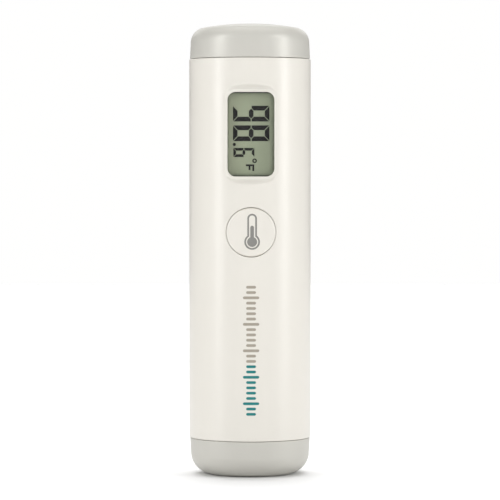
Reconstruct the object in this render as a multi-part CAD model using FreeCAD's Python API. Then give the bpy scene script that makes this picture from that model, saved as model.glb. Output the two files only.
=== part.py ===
# Digital ear thermometer: a straight round barrel with a pull-off probe cap on top and a pull-off
# battery cap below, a display window and one scan button.
#
# Frame: millimetres, +Z up along the barrel, the display faces -Y, and the origin is the centre of
# the flat foot that the thermometer stands on.
import FreeCAD, Part
import math
import os

from FreeCAD import Vector

# ---------------------------------------------------------------------------------------------
# Driving dimensions
# ---------------------------------------------------------------------------------------------
TOTAL_H = 126.0            # foot to the top of the dome
BARREL_R = 17.0            # outside of the barrel
WALL = 1.8                 # barrel wall
BORE_R = BARREL_R - WALL   # inside of the barrel
BASE_SEAM = 10.3           # lower end of the barrel
CAP_SEAM = 116.0           # upper end of the barrel
END_R = 16.8               # both end caps, at their seams
SEAM_GAP = 0.25            # shadow gap at each seam
SOFT_EDGE = 0.3            # rounding of the moulded edges at the seams
LOOSE = 0.05               # clearance between pieces that are fixed together

# Probe cap: tapered side, round shoulder, low dome
CAP_SHOULDER_R = 4.2
CAP_SHOULDER_AT = (12.38, 120.7)
CAP_SKIN = 1.2
LINER_SKIN = 0.9
PLUG_R = BORE_R - 0.25     # plug of either cap, where it slides in the barrel
PLUG_WALL = 1.1
CAP_PLUG_Z = 112.6         # lower end of the probe cap's plug

# Base cap: flat foot, large round corner, slightly tapered side
FOOT_R = 10.55
BASE_CORNER_R = 6.0
BASE_SKIN = 1.4
INSERT_FLOOR = 1.2
BASE_PLUG_Z = 14.4         # upper end of the base cap's plug
KEY_HALF_W = 1.2           # rib that lets the base cap go on one way round
KEY_R = 15.6
KEY_TOP = 13.0

# Display: recessed flat in the barrel, window, panel
DISPLAY_Z = 94.95          # height of the display's centre
WINDOW_HALF_W = 6.45
WINDOW_HALF_H = 11.6
WINDOW_CORNER = 2.2
FLAT_Y = -15.35            # plane of the recessed flat
FLAT_MARGIN = 0.8          # flat beyond the window, above and below it
FLAT_FLARE = 0.83          # slope of the recess's ends
LIP = 0.6                  # wall in front of the window pane
PANE_T = 1.0
PANE_MARGIN = 0.75
GASKET_T = 0.25
PANEL_HALF_W = 8.0
PANEL_HALF_H = 13.5
PANEL_LEDGE = 1.3          # front glass beyond the back glass, above and below
GLASS_T = 0.8
FILM_T = 0.2
POCKET_GAP = 0.15
BEZEL_Y = -12.4            # back of the front shell's display frame

# Scan button and its switch
BUTTON_Z = 68.0
BUTTON_R = 6.8
BUTTON_FACE_Y = -16.45
BUTTON_GAP = 0.22
BUTTON_SKIN = 1.3
BUTTON_FLANGE_R = 7.9
BUTTON_STOP_Y = -12.9      # inner stop that the button's flange rests on
BUTTON_TRAVEL = 0.5
SWITCH_HALF = 3.0
PLUNGER_R = 1.7
PLUNGER_TOP_Y = -13.45

# Circuit board
BOARD_FRONT_Y = -9.6
BOARD_T = 1.0
BOARD_BACK_Y = BOARD_FRONT_Y + BOARD_T
BOARD_HALF_W = 11.3
BOARD_Z = (60.5, 109.4)
BOARD_SCREWS = [(side * 9.3, z) for side in (-1, 1) for z in (62.6, 77.3)]

# Batteries: two AAA cells side by side
CELL_R = 5.1
CELL_SLEEVE_T = 0.12
CELL_LENGTH = 44.5
CELL_NUB = (1.9, 0.9)      # radius, height
CELL_X = 5.75
CELL_Z = 6.4               # lower ends of both cells
CELL_TOP = CELL_Z + CELL_LENGTH
BAY_R = 5.45
CRADLE_R = 6.5
CRADLE_Z = (14.6, 54.8)
CRADLE_FLANGE_T = 1.5
FLANGE_R = 15.7            # flanges that the two shells hold in their grooves
CONTACT_T = 0.3
UPPER_CONTACT_Z = 53.4
LOWER_CONTACT_Z = 4.0
SPRING_WIRE = 0.5
SPRING_TURNS = 2.5
SPRING_R = 2.6
SPRING_GAP = 0.1

# Housing screws, between the battery cradle and the circuit board
HOUSING_SCREWS = [(-9.4, 58.0), (9.4, 58.0)]
BOSS_SPLIT_Y = -1.0

# Ear probe and its sensor
PROBE_FLANGE_Z = (109.9, 111.3)
PROBE_TIP_Z = 123.0
PROBE_TIP_R = 4.35
PROBE_ROOT = (7.3, 113.6)  # radius and height where the flare meets the cone
PROBE_BORE_R = 3.12
SLEEVE_Z = (115.4, 121.65)
HEADER_Z = 118.0
HEADER_T = 0.6
CAN_R = 2.35
CAN_TOP = 121.2
LEAD_R = 0.225
LEAD_CIRCLE_R = 1.27
SENSOR_BOARD_Z = (112.6, 113.4)


# ---------------------------------------------------------------------------------------------
# Shapes that the pieces are made from
# ---------------------------------------------------------------------------------------------
def box(x, y, z):
    """Block over three spans (low, high)."""
    return Part.makeBox(x[1] - x[0], y[1] - y[0], z[1] - z[0], Vector(x[0], y[0], z[0]))


def rod_z(radius, z, at=(0.0, 0.0)):
    """Round rod along Z over the span z, at (x, y)."""
    return Part.makeCylinder(radius, z[1] - z[0], Vector(at[0], at[1], z[0]), Vector(0, 0, 1))


def rod_y(radius, y, at):
    """Round rod along Y over the span y, at (x, z)."""
    return Part.makeCylinder(radius, y[1] - y[0], Vector(at[0], y[0], at[1]), Vector(0, 1, 0))


def tube_z(outer, inner, z, at=(0.0, 0.0)):
    return rod_z(outer, z, at).cut(rod_z(inner, z, at))


def on_arc(centre, radius, start, end):
    """Middle and end point of an arc in the (r, z) plane, between two angles in degrees."""
    points = []
    for angle in ((start + end) / 2, end):
        a = math.radians(angle)
        points.append((centre[0] + radius * math.cos(a), centre[1] + radius * math.sin(a)))
    return tuple(points)


def turned(start, *steps):
    """Solid turned about Z. A step is an end point (r, z), or an arc's middle and end point."""
    edges = []
    here = start
    for step in (*steps, start):
        is_arc = isinstance(step[0], tuple)
        there = step[1] if is_arc else step
        a, b = (Vector(p[0], 0, p[1]) for p in (here, there))
        if is_arc:
            edges.append(Part.Arc(a, Vector(step[0][0], 0, step[0][1]), b).toShape())
        elif (b - a).Length > 1e-6:
            edges.append(Part.LineSegment(a, b).toShape())
        here = there
    return Part.Face(Part.Wire(edges)).revolve(Vector(), Vector(0, 0, 1), 360)


def rounded_outline(half_w, half_h, corner, y, centre_z):
    """Closed rounded rectangle in the plane y, centred on x = 0."""
    edges = []
    corners = [(1, 1), (-1, 1), (-1, -1), (1, -1)]
    for i, (sx, sz) in enumerate(corners):
        centre = Vector(sx * (half_w - corner), y, centre_z + sz * (half_h - corner))
        turn = [Vector(corner * math.cos(math.radians(i * 90 + a)), 0,
                       corner * math.sin(math.radians(i * 90 + a))) for a in (0, 45, 90)]
        edges.append(Part.Arc(*(centre + t for t in turn)).toShape())
    ends = [(edges[i].Vertexes[-1].Point, edges[(i + 1) % 4].Vertexes[0].Point) for i in range(4)]
    edges += [Part.LineSegment(a, b).toShape() for a, b in ends if (b - a).Length > 1e-6]
    return Part.Wire(Part.__sortEdges__(edges))


def plate(half_w, half_h, corner, y, centre_z=DISPLAY_Z):
    """Rounded rectangular plate facing -Y over the span y."""
    face = Part.Face(rounded_outline(half_w, half_h, corner, y[0], centre_z))
    return face.extrude(Vector(0, y[1] - y[0], 0))


def rounded(shape, radius, wanted):
    """Fillets the edges that wanted(edge) picks."""
    return shape.makeFillet(radius, [e for e in shape.Edges if wanted(e)])


def is_circle(edge, radius, z):
    """True for an edge that lies on a circle of that radius about Z at height z."""
    low, high = edge.BoundBox.ZMin, edge.BoundBox.ZMax
    middle = edge.valueAt((edge.FirstParameter + edge.LastParameter) / 2)
    return max(abs(low - z), abs(high - z), abs(math.hypot(middle.x, middle.y) - radius)) < 1e-3


def coil(z, at):
    """Compression spring of round wire whose turns fill the span z."""
    height = z[1] - z[0] - SPRING_WIRE
    path = Part.makeHelix(height / SPRING_TURNS, height, SPRING_R)
    profile = Part.Wire(Part.makeCircle(SPRING_WIRE / 2, Vector(SPRING_R, 0, 0), Vector(0, 1, 0)))
    spring = Part.Wire(path).makePipeShell([profile], True, True)
    spring.translate(Vector(at[0], at[1], z[0] + SPRING_WIRE / 2))
    return spring


def screw(at, head_y, shank, length, head):
    """Pan-head screw along -Y. Its head, (radius, height), bears at head_y; shank is a radius."""
    body = rod_y(shank, (head_y - length, head_y), at)
    cap = rod_y(head[0], (head_y, head_y + head[1]), at)
    cap = rounded(cap, head[1] * 0.45, lambda e: abs(e.BoundBox.YMin - head_y - head[1]) < 1e-6
                  and abs(e.BoundBox.YMax - head_y - head[1]) < 1e-6)
    slot_y = (head_y + head[1] * 0.45, head_y + head[1] + 0.1)
    slots = [box((at[0] - a, at[0] + a), slot_y, (at[1] - b, at[1] + b))
             for a, b in ((head[0] * 0.55, 0.16), (0.16, head[0] * 0.55))]
    return body.fuse(cap).cut(slots[0].fuse(slots[1])).removeSplitter()


# ---------------------------------------------------------------------------------------------
# Barrel: front and rear shells
# ---------------------------------------------------------------------------------------------
LAP_R = 16.1               # the rear shell's lip reaches inside the front shell's edge
LAP_DEPTH = 0.8
BOARD_SCREW = {"shank": 0.8, "length": 3.6, "head": (1.6, 1.2)}
HOUSING_SCREW = {"shank": 0.95, "length": 8.0, "head": (1.9, 1.4)}
HEAD_SEAT_Y = 8.6          # bearing face of the housing screws' heads
HOOK_HEIGHTS = (28.0, 46.0, 86.0, 102.0)
FAR = 40.0                 # beyond the barrel on every side
SEAM_V = 0.22              # half the side of the square bar that cuts the seam groove
RECESS_HALF_W = 7.5        # the recess's floor runs out through the barrel's sides
RECESS_DEPTH = 2.2         # cutter's height, from the floor to outside the barrel
BOARD_BOSS_R = 1.9
FRONT_BOSS_R = 2.3
REAR_BOSS_R = 3.1
BOSS_ROOT_R = BORE_R + 0.6 # the bosses run this far into the wall


def shell_blank():
    """The whole barrel before it is split, with rounded ends and the grooves for both flanges."""
    barrel = tube_z(BARREL_R, BORE_R, (BASE_SEAM, CAP_SEAM))
    for radius, z in ((BARREL_R, BASE_SEAM), (BARREL_R, CAP_SEAM), (BORE_R, CAP_SEAM)):
        barrel = rounded(barrel, SOFT_EDGE, lambda e: is_circle(e, radius, z))
    return cut_flange_grooves(barrel)


def cut_flange_grooves(shape):
    """Cuts the grooves that hold the cradle's and the probe's flanges."""
    cradle_flange = (CRADLE_Z[0], CRADLE_Z[0] + CRADLE_FLANGE_T)
    for low, high in (cradle_flange, PROBE_FLANGE_Z):
        shape = shape.cut(rod_z(FLANGE_R + LOOSE, (low - LOOSE, high + LOOSE)))
    return shape


def half_space(front):
    return box((-FAR, FAR), (-FAR, 0) if front else (0, FAR), (0, TOTAL_H))


def seam_groove():
    """Fine V-groove along both side seams."""
    grooves = []
    for side in (-1, 1):
        bar = box((-SEAM_V, SEAM_V), (-SEAM_V, SEAM_V), (0, TOTAL_H))
        bar.rotate(Vector(), Vector(0, 0, 1), 45)
        bar.translate(Vector(side * BARREL_R, 0, 0))
        grooves.append(bar)
    return grooves[0].fuse(grooves[1])


def display_recess():
    """Cutter for the flat and its sloping ends."""
    floor_size = (RECESS_HALF_W, WINDOW_HALF_H + FLAT_MARGIN, WINDOW_CORNER + FLAT_MARGIN)
    mouth_size = [size + RECESS_DEPTH * FLAT_FLARE for size in floor_size]
    floor = rounded_outline(*floor_size, FLAT_Y, DISPLAY_Z)
    mouth = rounded_outline(*mouth_size, FLAT_Y - RECESS_DEPTH, DISPLAY_Z)
    return Part.makeLoft([floor, mouth], True, True)


def hook(side, z):
    """Snap hook on the front shell's edge, with the hole that the rear shell's catch fills."""
    x = sorted((side * 14.0, side * 15.0))
    arm = box(x, (-5.0, 2.2), (z - 2.5, z + 2.5))
    return arm.cut(box(x, (0.6, 1.6), (z - 1.4, z + 1.4)))


def catch(side, z):
    x = sorted((side * 14.4, side * 15.5))
    return box(x, (0.75, 1.45), (z - 1.2, z + 1.2)).common(rod_z(BARREL_R - 0.5, (z - 2, z + 2)))


def front_shell():
    shell = shell_blank().common(half_space(True))
    lap = tube_z(LAP_R + LOOSE, BORE_R - 1, (BASE_SEAM - 1, CAP_SEAM + 1))
    shell = shell.cut(lap.common(box((-FAR, FAR), (-LAP_DEPTH - LOOSE, 1), (0, TOTAL_H))))
    # Display frame, button stop and screw bosses stand on the inside of the wall.
    frame_half = (PANEL_HALF_W + 1.4, PANEL_HALF_H + 0.95)
    inside = [plate(*frame_half, 1.0, (-BARREL_R, BEZEL_Y))]
    inside.append(rod_y(BUTTON_FLANGE_R + 0.9, (-BARREL_R, BUTTON_STOP_Y), (0, BUTTON_Z)))
    inside += [rod_y(BOARD_BOSS_R, (-BARREL_R, BOARD_FRONT_Y), at) for at in BOARD_SCREWS]
    inside += [rod_y(FRONT_BOSS_R, (-BARREL_R, BOSS_SPLIT_Y), at) for at in HOUSING_SCREWS]
    additions = inside[0].multiFuse(inside[1:]).common(rod_z(BOSS_ROOT_R, (BASE_SEAM, CAP_SEAM)))
    shell = shell.fuse(additions)
    shell = shell.multiFuse([hook(side, z) for side in (-1, 1) for z in HOOK_HEIGHTS]).removeSplitter()
    shell = shell.cut(display_recess())
    # Window opening, the pane's pocket and the panel's pocket, from the front to the back.
    pane_y = FLAT_Y + LIP
    pocket_y = pane_y + PANE_T + GASKET_T - FILM_T
    opening = plate(WINDOW_HALF_W, WINDOW_HALF_H, WINDOW_CORNER, (-BARREL_R - 1, pane_y))
    pane_seat = plate(WINDOW_HALF_W + PANE_MARGIN + LOOSE, WINDOW_HALF_H + 1 + LOOSE, 1.5, (pane_y, pocket_y))
    panel_seat = plate(PANEL_HALF_W + POCKET_GAP, PANEL_HALF_H + POCKET_GAP, 0.3, (pocket_y, BEZEL_Y + 1))
    shell = shell.cut(opening).cut(pane_seat).cut(panel_seat)
    # Button hole, and the wider bore for its flange.
    shell = shell.cut(rod_y(BUTTON_R + BUTTON_GAP, (-BARREL_R - 1, BUTTON_STOP_Y + 1), (0, BUTTON_Z)))
    for at in BOARD_SCREWS:
        depth = BOARD_SCREW["length"] - BOARD_T + 0.3
        shell = shell.cut(rod_y(BOARD_SCREW["shank"] + LOOSE, (BOARD_FRONT_Y - depth, BOARD_FRONT_Y + 1), at))
    for at in HOUSING_SCREWS:
        tip_y = HEAD_SEAT_Y - HOUSING_SCREW["length"]
        shell = shell.cut(rod_y(HOUSING_SCREW["shank"] + LOOSE, (tip_y - 2.0, BOSS_SPLIT_Y + 1), at))
    return soften_front(shell.cut(seam_groove()).removeSplitter())


def soften_front(shell):
    """Rounds the moulded edges that show: the recess's crest, the window's rim and the button hole's rim."""
    def crest(edge):
        m = edge.valueAt((edge.FirstParameter + edge.LastParameter) / 2)
        on_barrel = abs(math.hypot(m.x, m.y) - BARREL_R) < 2e-3
        in_height = abs(m.z - DISPLAY_Z) < WINDOW_HALF_H + 4
        return on_barrel and in_height and m.y < -14.5 and abs(m.z - DISPLAY_Z) > 10

    def window_rim(edge):
        y = edge.BoundBox
        return abs(y.YMin - FLAT_Y) < 1e-3 and abs(y.YMax - FLAT_Y) < 1e-3 and y.XMax < WINDOW_HALF_W + 0.01 \
            and y.XMin > -WINDOW_HALF_W - 0.01

    def button_rim(edge):
        points = [edge.valueAt(edge.FirstParameter + t * (edge.LastParameter - edge.FirstParameter))
                  for t in (0.13, 0.5, 0.81)]
        hole = BUTTON_R + BUTTON_GAP
        off = [(math.hypot(p.x, p.z - BUTTON_Z) - hole, math.hypot(p.x, p.y) - BARREL_R) for p in points]
        return all(abs(a) < 2e-3 and abs(b) < 2e-3 for a, b in off)

    shell = rounded(shell, 0.25, window_rim)
    shell = rounded(shell, 0.15, button_rim)
    return rounded(shell, 0.45, crest)


def rear_shell():
    shell = shell_blank().common(half_space(False))
    lip = cut_flange_grooves(tube_z(LAP_R, BORE_R, (BASE_SEAM + 0.5, CAP_SEAM - 0.5)))
    shell = shell.fuse(lip.common(box((-FAR, FAR), (-LAP_DEPTH, 0.5), (0, TOTAL_H))))
    bosses = [rod_y(REAR_BOSS_R, (BOSS_SPLIT_Y + LOOSE, BARREL_R), at) for at in HOUSING_SCREWS]
    shell = shell.fuse(bosses[0].multiFuse(bosses[1:]).common(rod_z(BOSS_ROOT_R, (BASE_SEAM, CAP_SEAM))))
    shell = shell.multiFuse([catch(side, z) for side in (-1, 1) for z in HOOK_HEIGHTS]).removeSplitter()
    for at in HOUSING_SCREWS:
        shell = shell.cut(rod_y(HOUSING_SCREW["shank"] + 0.15, (BOSS_SPLIT_Y - 1, HEAD_SEAT_Y + 1), at))
        shell = shell.cut(rod_y(HOUSING_SCREW["head"][0] + 0.25, (HEAD_SEAT_Y, BARREL_R + 1), at))
    slot = box((-KEY_HALF_W - 0.2, KEY_HALF_W + 0.2), (0, KEY_R + 0.2), (BASE_SEAM - 1, KEY_TOP + 0.3))
    return shell.cut(slot).cut(seam_groove()).removeSplitter()


# ---------------------------------------------------------------------------------------------
# Display
# ---------------------------------------------------------------------------------------------
PANE_Y = FLAT_Y + LIP                   # front of the window pane
FILM_Y = PANE_Y + PANE_T + GASKET_T     # front of the panel's polariser
GLASS_Y = FILM_Y + FILM_T


def display_window():
    pane = plate(WINDOW_HALF_W + PANE_MARGIN, WINDOW_HALF_H + 1.0, 1.4, (PANE_Y, PANE_Y + PANE_T))
    return rounded(pane, 0.15, lambda e: abs(e.BoundBox.YMax - PANE_Y) < 1e-6)


def window_gasket():
    outer = plate(WINDOW_HALF_W + PANE_MARGIN, WINDOW_HALF_H + 1.0, 1.4, (FILM_Y - GASKET_T, FILM_Y))
    return outer.cut(plate(WINDOW_HALF_W + 0.05, WINDOW_HALF_H - 0.2, 1.6, (FILM_Y - 1, FILM_Y + 1)))


def lcd_pieces():
    """Polariser, the two glasses and the reflector, from the front to the back."""
    back_half_h = PANEL_HALF_H - PANEL_LEDGE
    back_y = GLASS_Y + GLASS_T
    return {
        "lcd_polariser": plate(PANEL_HALF_W - 0.4, back_half_h, 0.3, (FILM_Y, GLASS_Y)),
        "lcd_front_glass": plate(PANEL_HALF_W, PANEL_HALF_H, 0.2, (GLASS_Y, back_y)),
        "lcd_back_glass": plate(PANEL_HALF_W, back_half_h, 0.2, (back_y, back_y + GLASS_T)),
        "lcd_reflector": plate(PANEL_HALF_W - 0.4, back_half_h - 0.3, 0.3,
                               (back_y + GLASS_T, back_y + GLASS_T + 0.25)),
    }


HOLDER_HALF = (PANEL_HALF_W + 0.8, PANEL_HALF_H + 0.8)


def lcd_holder():
    y = (BEZEL_Y + 0.1, BOARD_FRONT_Y)
    frame = plate(*HOLDER_HALF, 0.8, y)
    return frame.cut(plate(PANEL_HALF_W + 0.12, PANEL_HALF_H + 0.12, 0.3, (y[0] - 1, y[1] + 1)))


def contact_strip(above):
    """Rubber strip that joins the panel's ledge to the board."""
    side = 1 if above else -1
    centre = DISPLAY_Z + side * (PANEL_HALF_H - PANEL_LEDGE / 2)
    return box((-6.8, 6.8), (GLASS_Y + GLASS_T, BOARD_FRONT_Y), (centre - 0.5, centre + 0.5))


# ---------------------------------------------------------------------------------------------
# Scan button and switch
# ---------------------------------------------------------------------------------------------
def scan_button():
    flange_y = (BUTTON_STOP_Y + 0.1, BUTTON_STOP_Y + 0.9)
    at = (0, BUTTON_Z)
    cap = rod_y(BUTTON_R, (BUTTON_FACE_Y, flange_y[1]), at)
    cap = rounded(cap, 0.35, lambda e: abs(e.BoundBox.YMax - BUTTON_FACE_Y) < 1e-6)
    cap = cap.fuse(rod_y(BUTTON_FLANGE_R, flange_y, at))
    cap = cap.cut(rod_y(BUTTON_R - 1.1, (BUTTON_FACE_Y + BUTTON_SKIN, flange_y[1] + 1), at))
    stem = rod_y(1.6, (BUTTON_FACE_Y + BUTTON_SKIN, PLUNGER_TOP_Y - 0.05), at)
    ribs = [box((-5.8, 5.8), (BUTTON_FACE_Y + BUTTON_SKIN, BUTTON_FACE_Y + BUTTON_SKIN + 0.9),
                (BUTTON_Z - 0.35, BUTTON_Z + 0.35)),
            box((-0.35, 0.35), (BUTTON_FACE_Y + BUTTON_SKIN, BUTTON_FACE_Y + BUTTON_SKIN + 0.9),
                (BUTTON_Z - 5.8, BUTTON_Z + 5.8))]
    return cap.multiFuse([stem, *ribs]).removeSplitter()


SWITCH_TOP_Y = PLUNGER_TOP_Y + 0.75     # top of the switch's metal cover
SWITCH_SPLIT_Y = SWITCH_TOP_Y + 0.3
PLUNGER_FOOT_T = 0.4


def switch_base():
    span = (BUTTON_Z - SWITCH_HALF, BUTTON_Z + SWITCH_HALF)
    base = box((-SWITCH_HALF, SWITCH_HALF), (SWITCH_SPLIT_Y, BOARD_FRONT_Y), span)
    pocket_y = (SWITCH_SPLIT_Y - 1, SWITCH_SPLIT_Y + PLUNGER_FOOT_T + BUTTON_TRAVEL + 0.65)
    return base.cut(rod_y(PLUNGER_R + 0.9, pocket_y, (0, BUTTON_Z)))


def switch_cover():
    half = SWITCH_HALF - 0.1
    span = (BUTTON_Z - half, BUTTON_Z + half)
    cover = box((-half, half), (SWITCH_TOP_Y, SWITCH_SPLIT_Y), span)
    cover = cover.cut(rod_y(PLUNGER_R + 0.1, (SWITCH_TOP_Y - 1, SWITCH_SPLIT_Y + 1), (0, BUTTON_Z)))
    rivets = [rod_y(0.35, (SWITCH_TOP_Y - 0.15, SWITCH_TOP_Y), (x, BUTTON_Z + z)) for x in (-2.4, 2.4)
              for z in (-2.4, 2.4)]
    return cover.multiFuse(rivets).removeSplitter()


def switch_plunger():
    top = rod_y(PLUNGER_R, (PLUNGER_TOP_Y, SWITCH_SPLIT_Y + LOOSE), (0, BUTTON_Z))
    foot_y = (SWITCH_SPLIT_Y + LOOSE, SWITCH_SPLIT_Y + LOOSE + PLUNGER_FOOT_T)
    foot = rod_y(PLUNGER_R + 0.6, foot_y, (0, BUTTON_Z))
    return top.fuse(foot).removeSplitter()


# ---------------------------------------------------------------------------------------------
# Circuit board and what is soldered to it
# ---------------------------------------------------------------------------------------------
def circuit_board():
    half_h = (BOARD_Z[1] - BOARD_Z[0]) / 2
    board = plate(BOARD_HALF_W, half_h, 1.0, (BOARD_FRONT_Y, BOARD_BACK_Y), (BOARD_Z[0] + BOARD_Z[1]) / 2)
    for at in BOARD_SCREWS:
        board = board.cut(rod_y(BOARD_SCREW["shank"] + 0.2, (BOARD_FRONT_Y - 1, BOARD_BACK_Y + 1), at))
    return board


def on_board(x, z, height):
    """Part on the back of the board, over the spans x and z."""
    return box(x, (BOARD_BACK_Y, BOARD_BACK_Y + height), z)


def main_chip():
    """Flat package with a row of leads on each side."""
    half, centre_z = 5.0, 88.0
    body = box((-half, half), (BOARD_BACK_Y + 0.15, BOARD_BACK_Y + 1.55), (centre_z - half, centre_z + half))
    leads = []
    for i in range(12):
        offset = -4.4 + 0.8 * i
        for side in (-1, 1):
            across = sorted((side * (half - 0.2), side * (half + 1.0)))
            leads.append(on_board(across, (centre_z + offset - 0.15, centre_z + offset + 0.15), 0.3))
            along = (centre_z + across[0], centre_z + across[1])
            leads.append(on_board((offset - 0.15, offset + 0.15), along, 0.3))
    return body.multiFuse(leads)


def memory_chip():
    centre = (-4.5, 75.6)
    body = box((centre[0] - 2.4, centre[0] + 2.4), (BOARD_BACK_Y + 0.1, BOARD_BACK_Y + 1.5),
               (centre[1] - 1.9, centre[1] + 1.9))
    leads = []
    for i in range(4):
        x = centre[0] - 1.9 + 1.27 * i
        for side in (-1, 1):
            z = sorted((centre[1] + side * 1.8, centre[1] + side * 3.0))
            leads.append(on_board((x - 0.2, x + 0.2), z, 0.3))
    return body.multiFuse(leads)


def crystal():
    """Small metal can lying on the board."""
    return Part.makeCylinder(1.0, 6.0, Vector(6.0, BOARD_BACK_Y + 1.0, 74.0), Vector(0, 0, 1))


def chip_components():
    """Ceramic capacitors and resistors."""
    beside_chip = [(side * 9.0, z) for side in (-1, 1) for z in (84.0, 87.5, 91.0)]
    above_chip = [(x, 97.0) for x in (-9.0, -4.5, 0.0, 4.5)]
    below_chip = [(1.5, z) for z in (76.5, 79.0)]
    places = beside_chip + above_chip + below_chip
    return [on_board((x - 0.9, x + 0.9), (z - 0.5, z + 0.5), 0.7) for x, z in places]


def buzzer():
    at = (0, 66.8)
    body = rod_y(5.6, (BOARD_BACK_Y, BOARD_BACK_Y + 3.0), at)
    body = rounded(body, 0.4, lambda e: abs(e.BoundBox.YMin - BOARD_BACK_Y - 3.0) < 1e-6)
    return body.cut(rod_y(1.0, (BOARD_BACK_Y + 2.0, BOARD_BACK_Y + 4.0), at))


FLEX_HALF_W = 2.5
FLEX_T = 0.2
SOCKET_Z = (102.0, 104.6)
FLEX_Y = BOARD_BACK_Y + 0.9             # plane in which the flex enters its socket


def flex_connector():
    body = on_board((-3.4, 3.4), SOCKET_Z, 1.8)
    half_w = FLEX_HALF_W + LOOSE
    slot_y = (FLEX_Y - LOOSE, FLEX_Y + FLEX_T + LOOSE)
    return body.cut(box((-half_w, half_w), slot_y, (SOCKET_Z[0] + 0.8, SOCKET_Z[1] + 1)))


def sensor_flex():
    """Flat flexible lead: up from its socket, back in an S-bend, and up to the sensor board."""
    bend = 1.6
    start_z = SOCKET_Z[0] + 0.9
    top_z = SENSOR_BOARD_Z[0]
    turn_z = 107.4
    end_y = -2.0

    def run(offset):
        """The S-bend at an offset towards +Y, as edges from the bottom up."""
        y0, y1 = FLEX_Y + offset, end_y + offset
        z0, z1 = turn_z - offset, turn_z - offset
        r_in, r_out = bend - offset, bend + offset
        c45 = math.sqrt(0.5)
        step_in, step_out = r_in * (1 - c45), r_out * (1 - c45)
        first = Part.Arc(Vector(0, y0, z0 - r_in), Vector(0, y0 + step_in, z0 - step_in),
                         Vector(0, y0 + r_in, z0))
        second = Part.Arc(Vector(0, y1 - r_out, z1), Vector(0, y1 - step_out, z1 + step_out),
                          Vector(0, y1, z1 + r_out))
        pieces = [Part.LineSegment(Vector(0, y0, start_z), Vector(0, y0, z0 - r_in)), first,
                  Part.LineSegment(Vector(0, y0 + r_in, z0), Vector(0, y1 - r_out, z1)), second,
                  Part.LineSegment(Vector(0, y1, z1 + r_out), Vector(0, y1, top_z))]
        return [p.toShape() for p in pieces]

    near, far = run(0.0), run(FLEX_T)
    ends = [Part.LineSegment(near[0].Vertexes[0].Point, far[0].Vertexes[0].Point).toShape(),
            Part.LineSegment(near[-1].Vertexes[-1].Point, far[-1].Vertexes[-1].Point).toShape()]
    outline = Part.Wire(Part.__sortEdges__(near + far + ends))
    strip = Part.Face(outline).extrude(Vector(2 * FLEX_HALF_W, 0, 0))
    strip.translate(Vector(-FLEX_HALF_W, 0, 0))
    return strip


# ---------------------------------------------------------------------------------------------
# Ear probe and sensor
# ---------------------------------------------------------------------------------------------
def probe_housing():
    """Flange held by the shells, a flared floor, and the hollow cone that goes in the ear."""
    low, high = PROBE_FLANGE_Z
    flare_out = (12.4, high)
    flare_via = (9.25, high + 0.62)
    lip_r, lip_z = 2.6, PROBE_TIP_Z - 0.8
    tip_round = 0.7
    return turned(
        (FLANGE_R, low), (FLANGE_R, high), flare_out, (flare_via, PROBE_ROOT),
        (PROBE_TIP_R, PROBE_TIP_Z - tip_round),
        ((PROBE_TIP_R - 0.24, PROBE_TIP_Z - 0.22), (PROBE_TIP_R - tip_round, PROBE_TIP_Z)),
        (lip_r + 0.15, PROBE_TIP_Z), (lip_r, PROBE_TIP_Z - 0.15), (lip_r, lip_z), (PROBE_BORE_R, lip_z),
        (PROBE_BORE_R, SLEEVE_Z[0]), (6.4, 113.5), (6.4, low))


def probe_window():
    """Silicon window that closes the tip."""
    top = PROBE_TIP_Z - 0.8
    return rod_z(PROBE_BORE_R - LOOSE, (top - 0.5, top))


def sensor_sleeve():
    """Metal barrel that keeps the sensor at one temperature."""
    top = PROBE_TIP_Z - 1.3
    step = HEADER_Z + HEADER_T
    return turned((PROBE_BORE_R - LOOSE, SLEEVE_Z[0]), (PROBE_BORE_R - LOOSE, top), (CAN_R + 0.07, top),
                  (CAN_R + 0.07, step), (2.8, step), (2.8, SLEEVE_Z[0]))


def sensor_can():
    low = HEADER_Z + HEADER_T
    roof = CAN_TOP - 0.25
    shoulder = ((CAN_R - 0.09, CAN_TOP - 0.09), (CAN_R - 0.3, CAN_TOP))
    return turned((CAN_R, low), (CAN_R, CAN_TOP - 0.3), shoulder, (1.25, CAN_TOP), (1.25, roof),
                  (CAN_R - 0.25, roof), (CAN_R - 0.25, low))


def sensor_filter():
    return rod_z(1.9, (CAN_TOP - 0.6, CAN_TOP - 0.25))


def thermopile_chip():
    low = HEADER_Z + HEADER_T
    return box((-0.9, 0.9), (-0.9, 0.9), (low, low + 0.4))


def lead_places():
    angles = [math.radians(45 + 90 * i) for i in range(4)]
    return [(LEAD_CIRCLE_R * math.cos(a), LEAD_CIRCLE_R * math.sin(a)) for a in angles]


def with_lead_holes(shape, radius, z):
    for at in lead_places():
        shape = shape.cut(rod_z(radius, z, at))
    return shape


def sensor_header():
    return rod_z(2.7, (HEADER_Z, HEADER_Z + HEADER_T))


def sensor_leads():
    return [rod_z(LEAD_R, (SENSOR_BOARD_Z[0] - 0.4, HEADER_Z), at) for at in lead_places()]


def sensor_retainer():
    z = (SLEEVE_Z[0] + 0.1, HEADER_Z)
    return with_lead_holes(rod_z(2.75, z), LEAD_R + 0.1, (z[0] - 1, z[1] + 1))


def sensor_board():
    board = rod_z(5.8, SENSOR_BOARD_Z)
    return with_lead_holes(board, LEAD_R + LOOSE, (SENSOR_BOARD_Z[0] - 1, SENSOR_BOARD_Z[1] + 1))


def probe_seal():
    """Rubber ring in the corner between the probe's flange and the barrel."""
    thick = 0.5
    return Part.makeTorus(BORE_R - thick - LOOSE, thick, Vector(0, 0, PROBE_FLANGE_Z[1] + thick + LOOSE))


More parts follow.
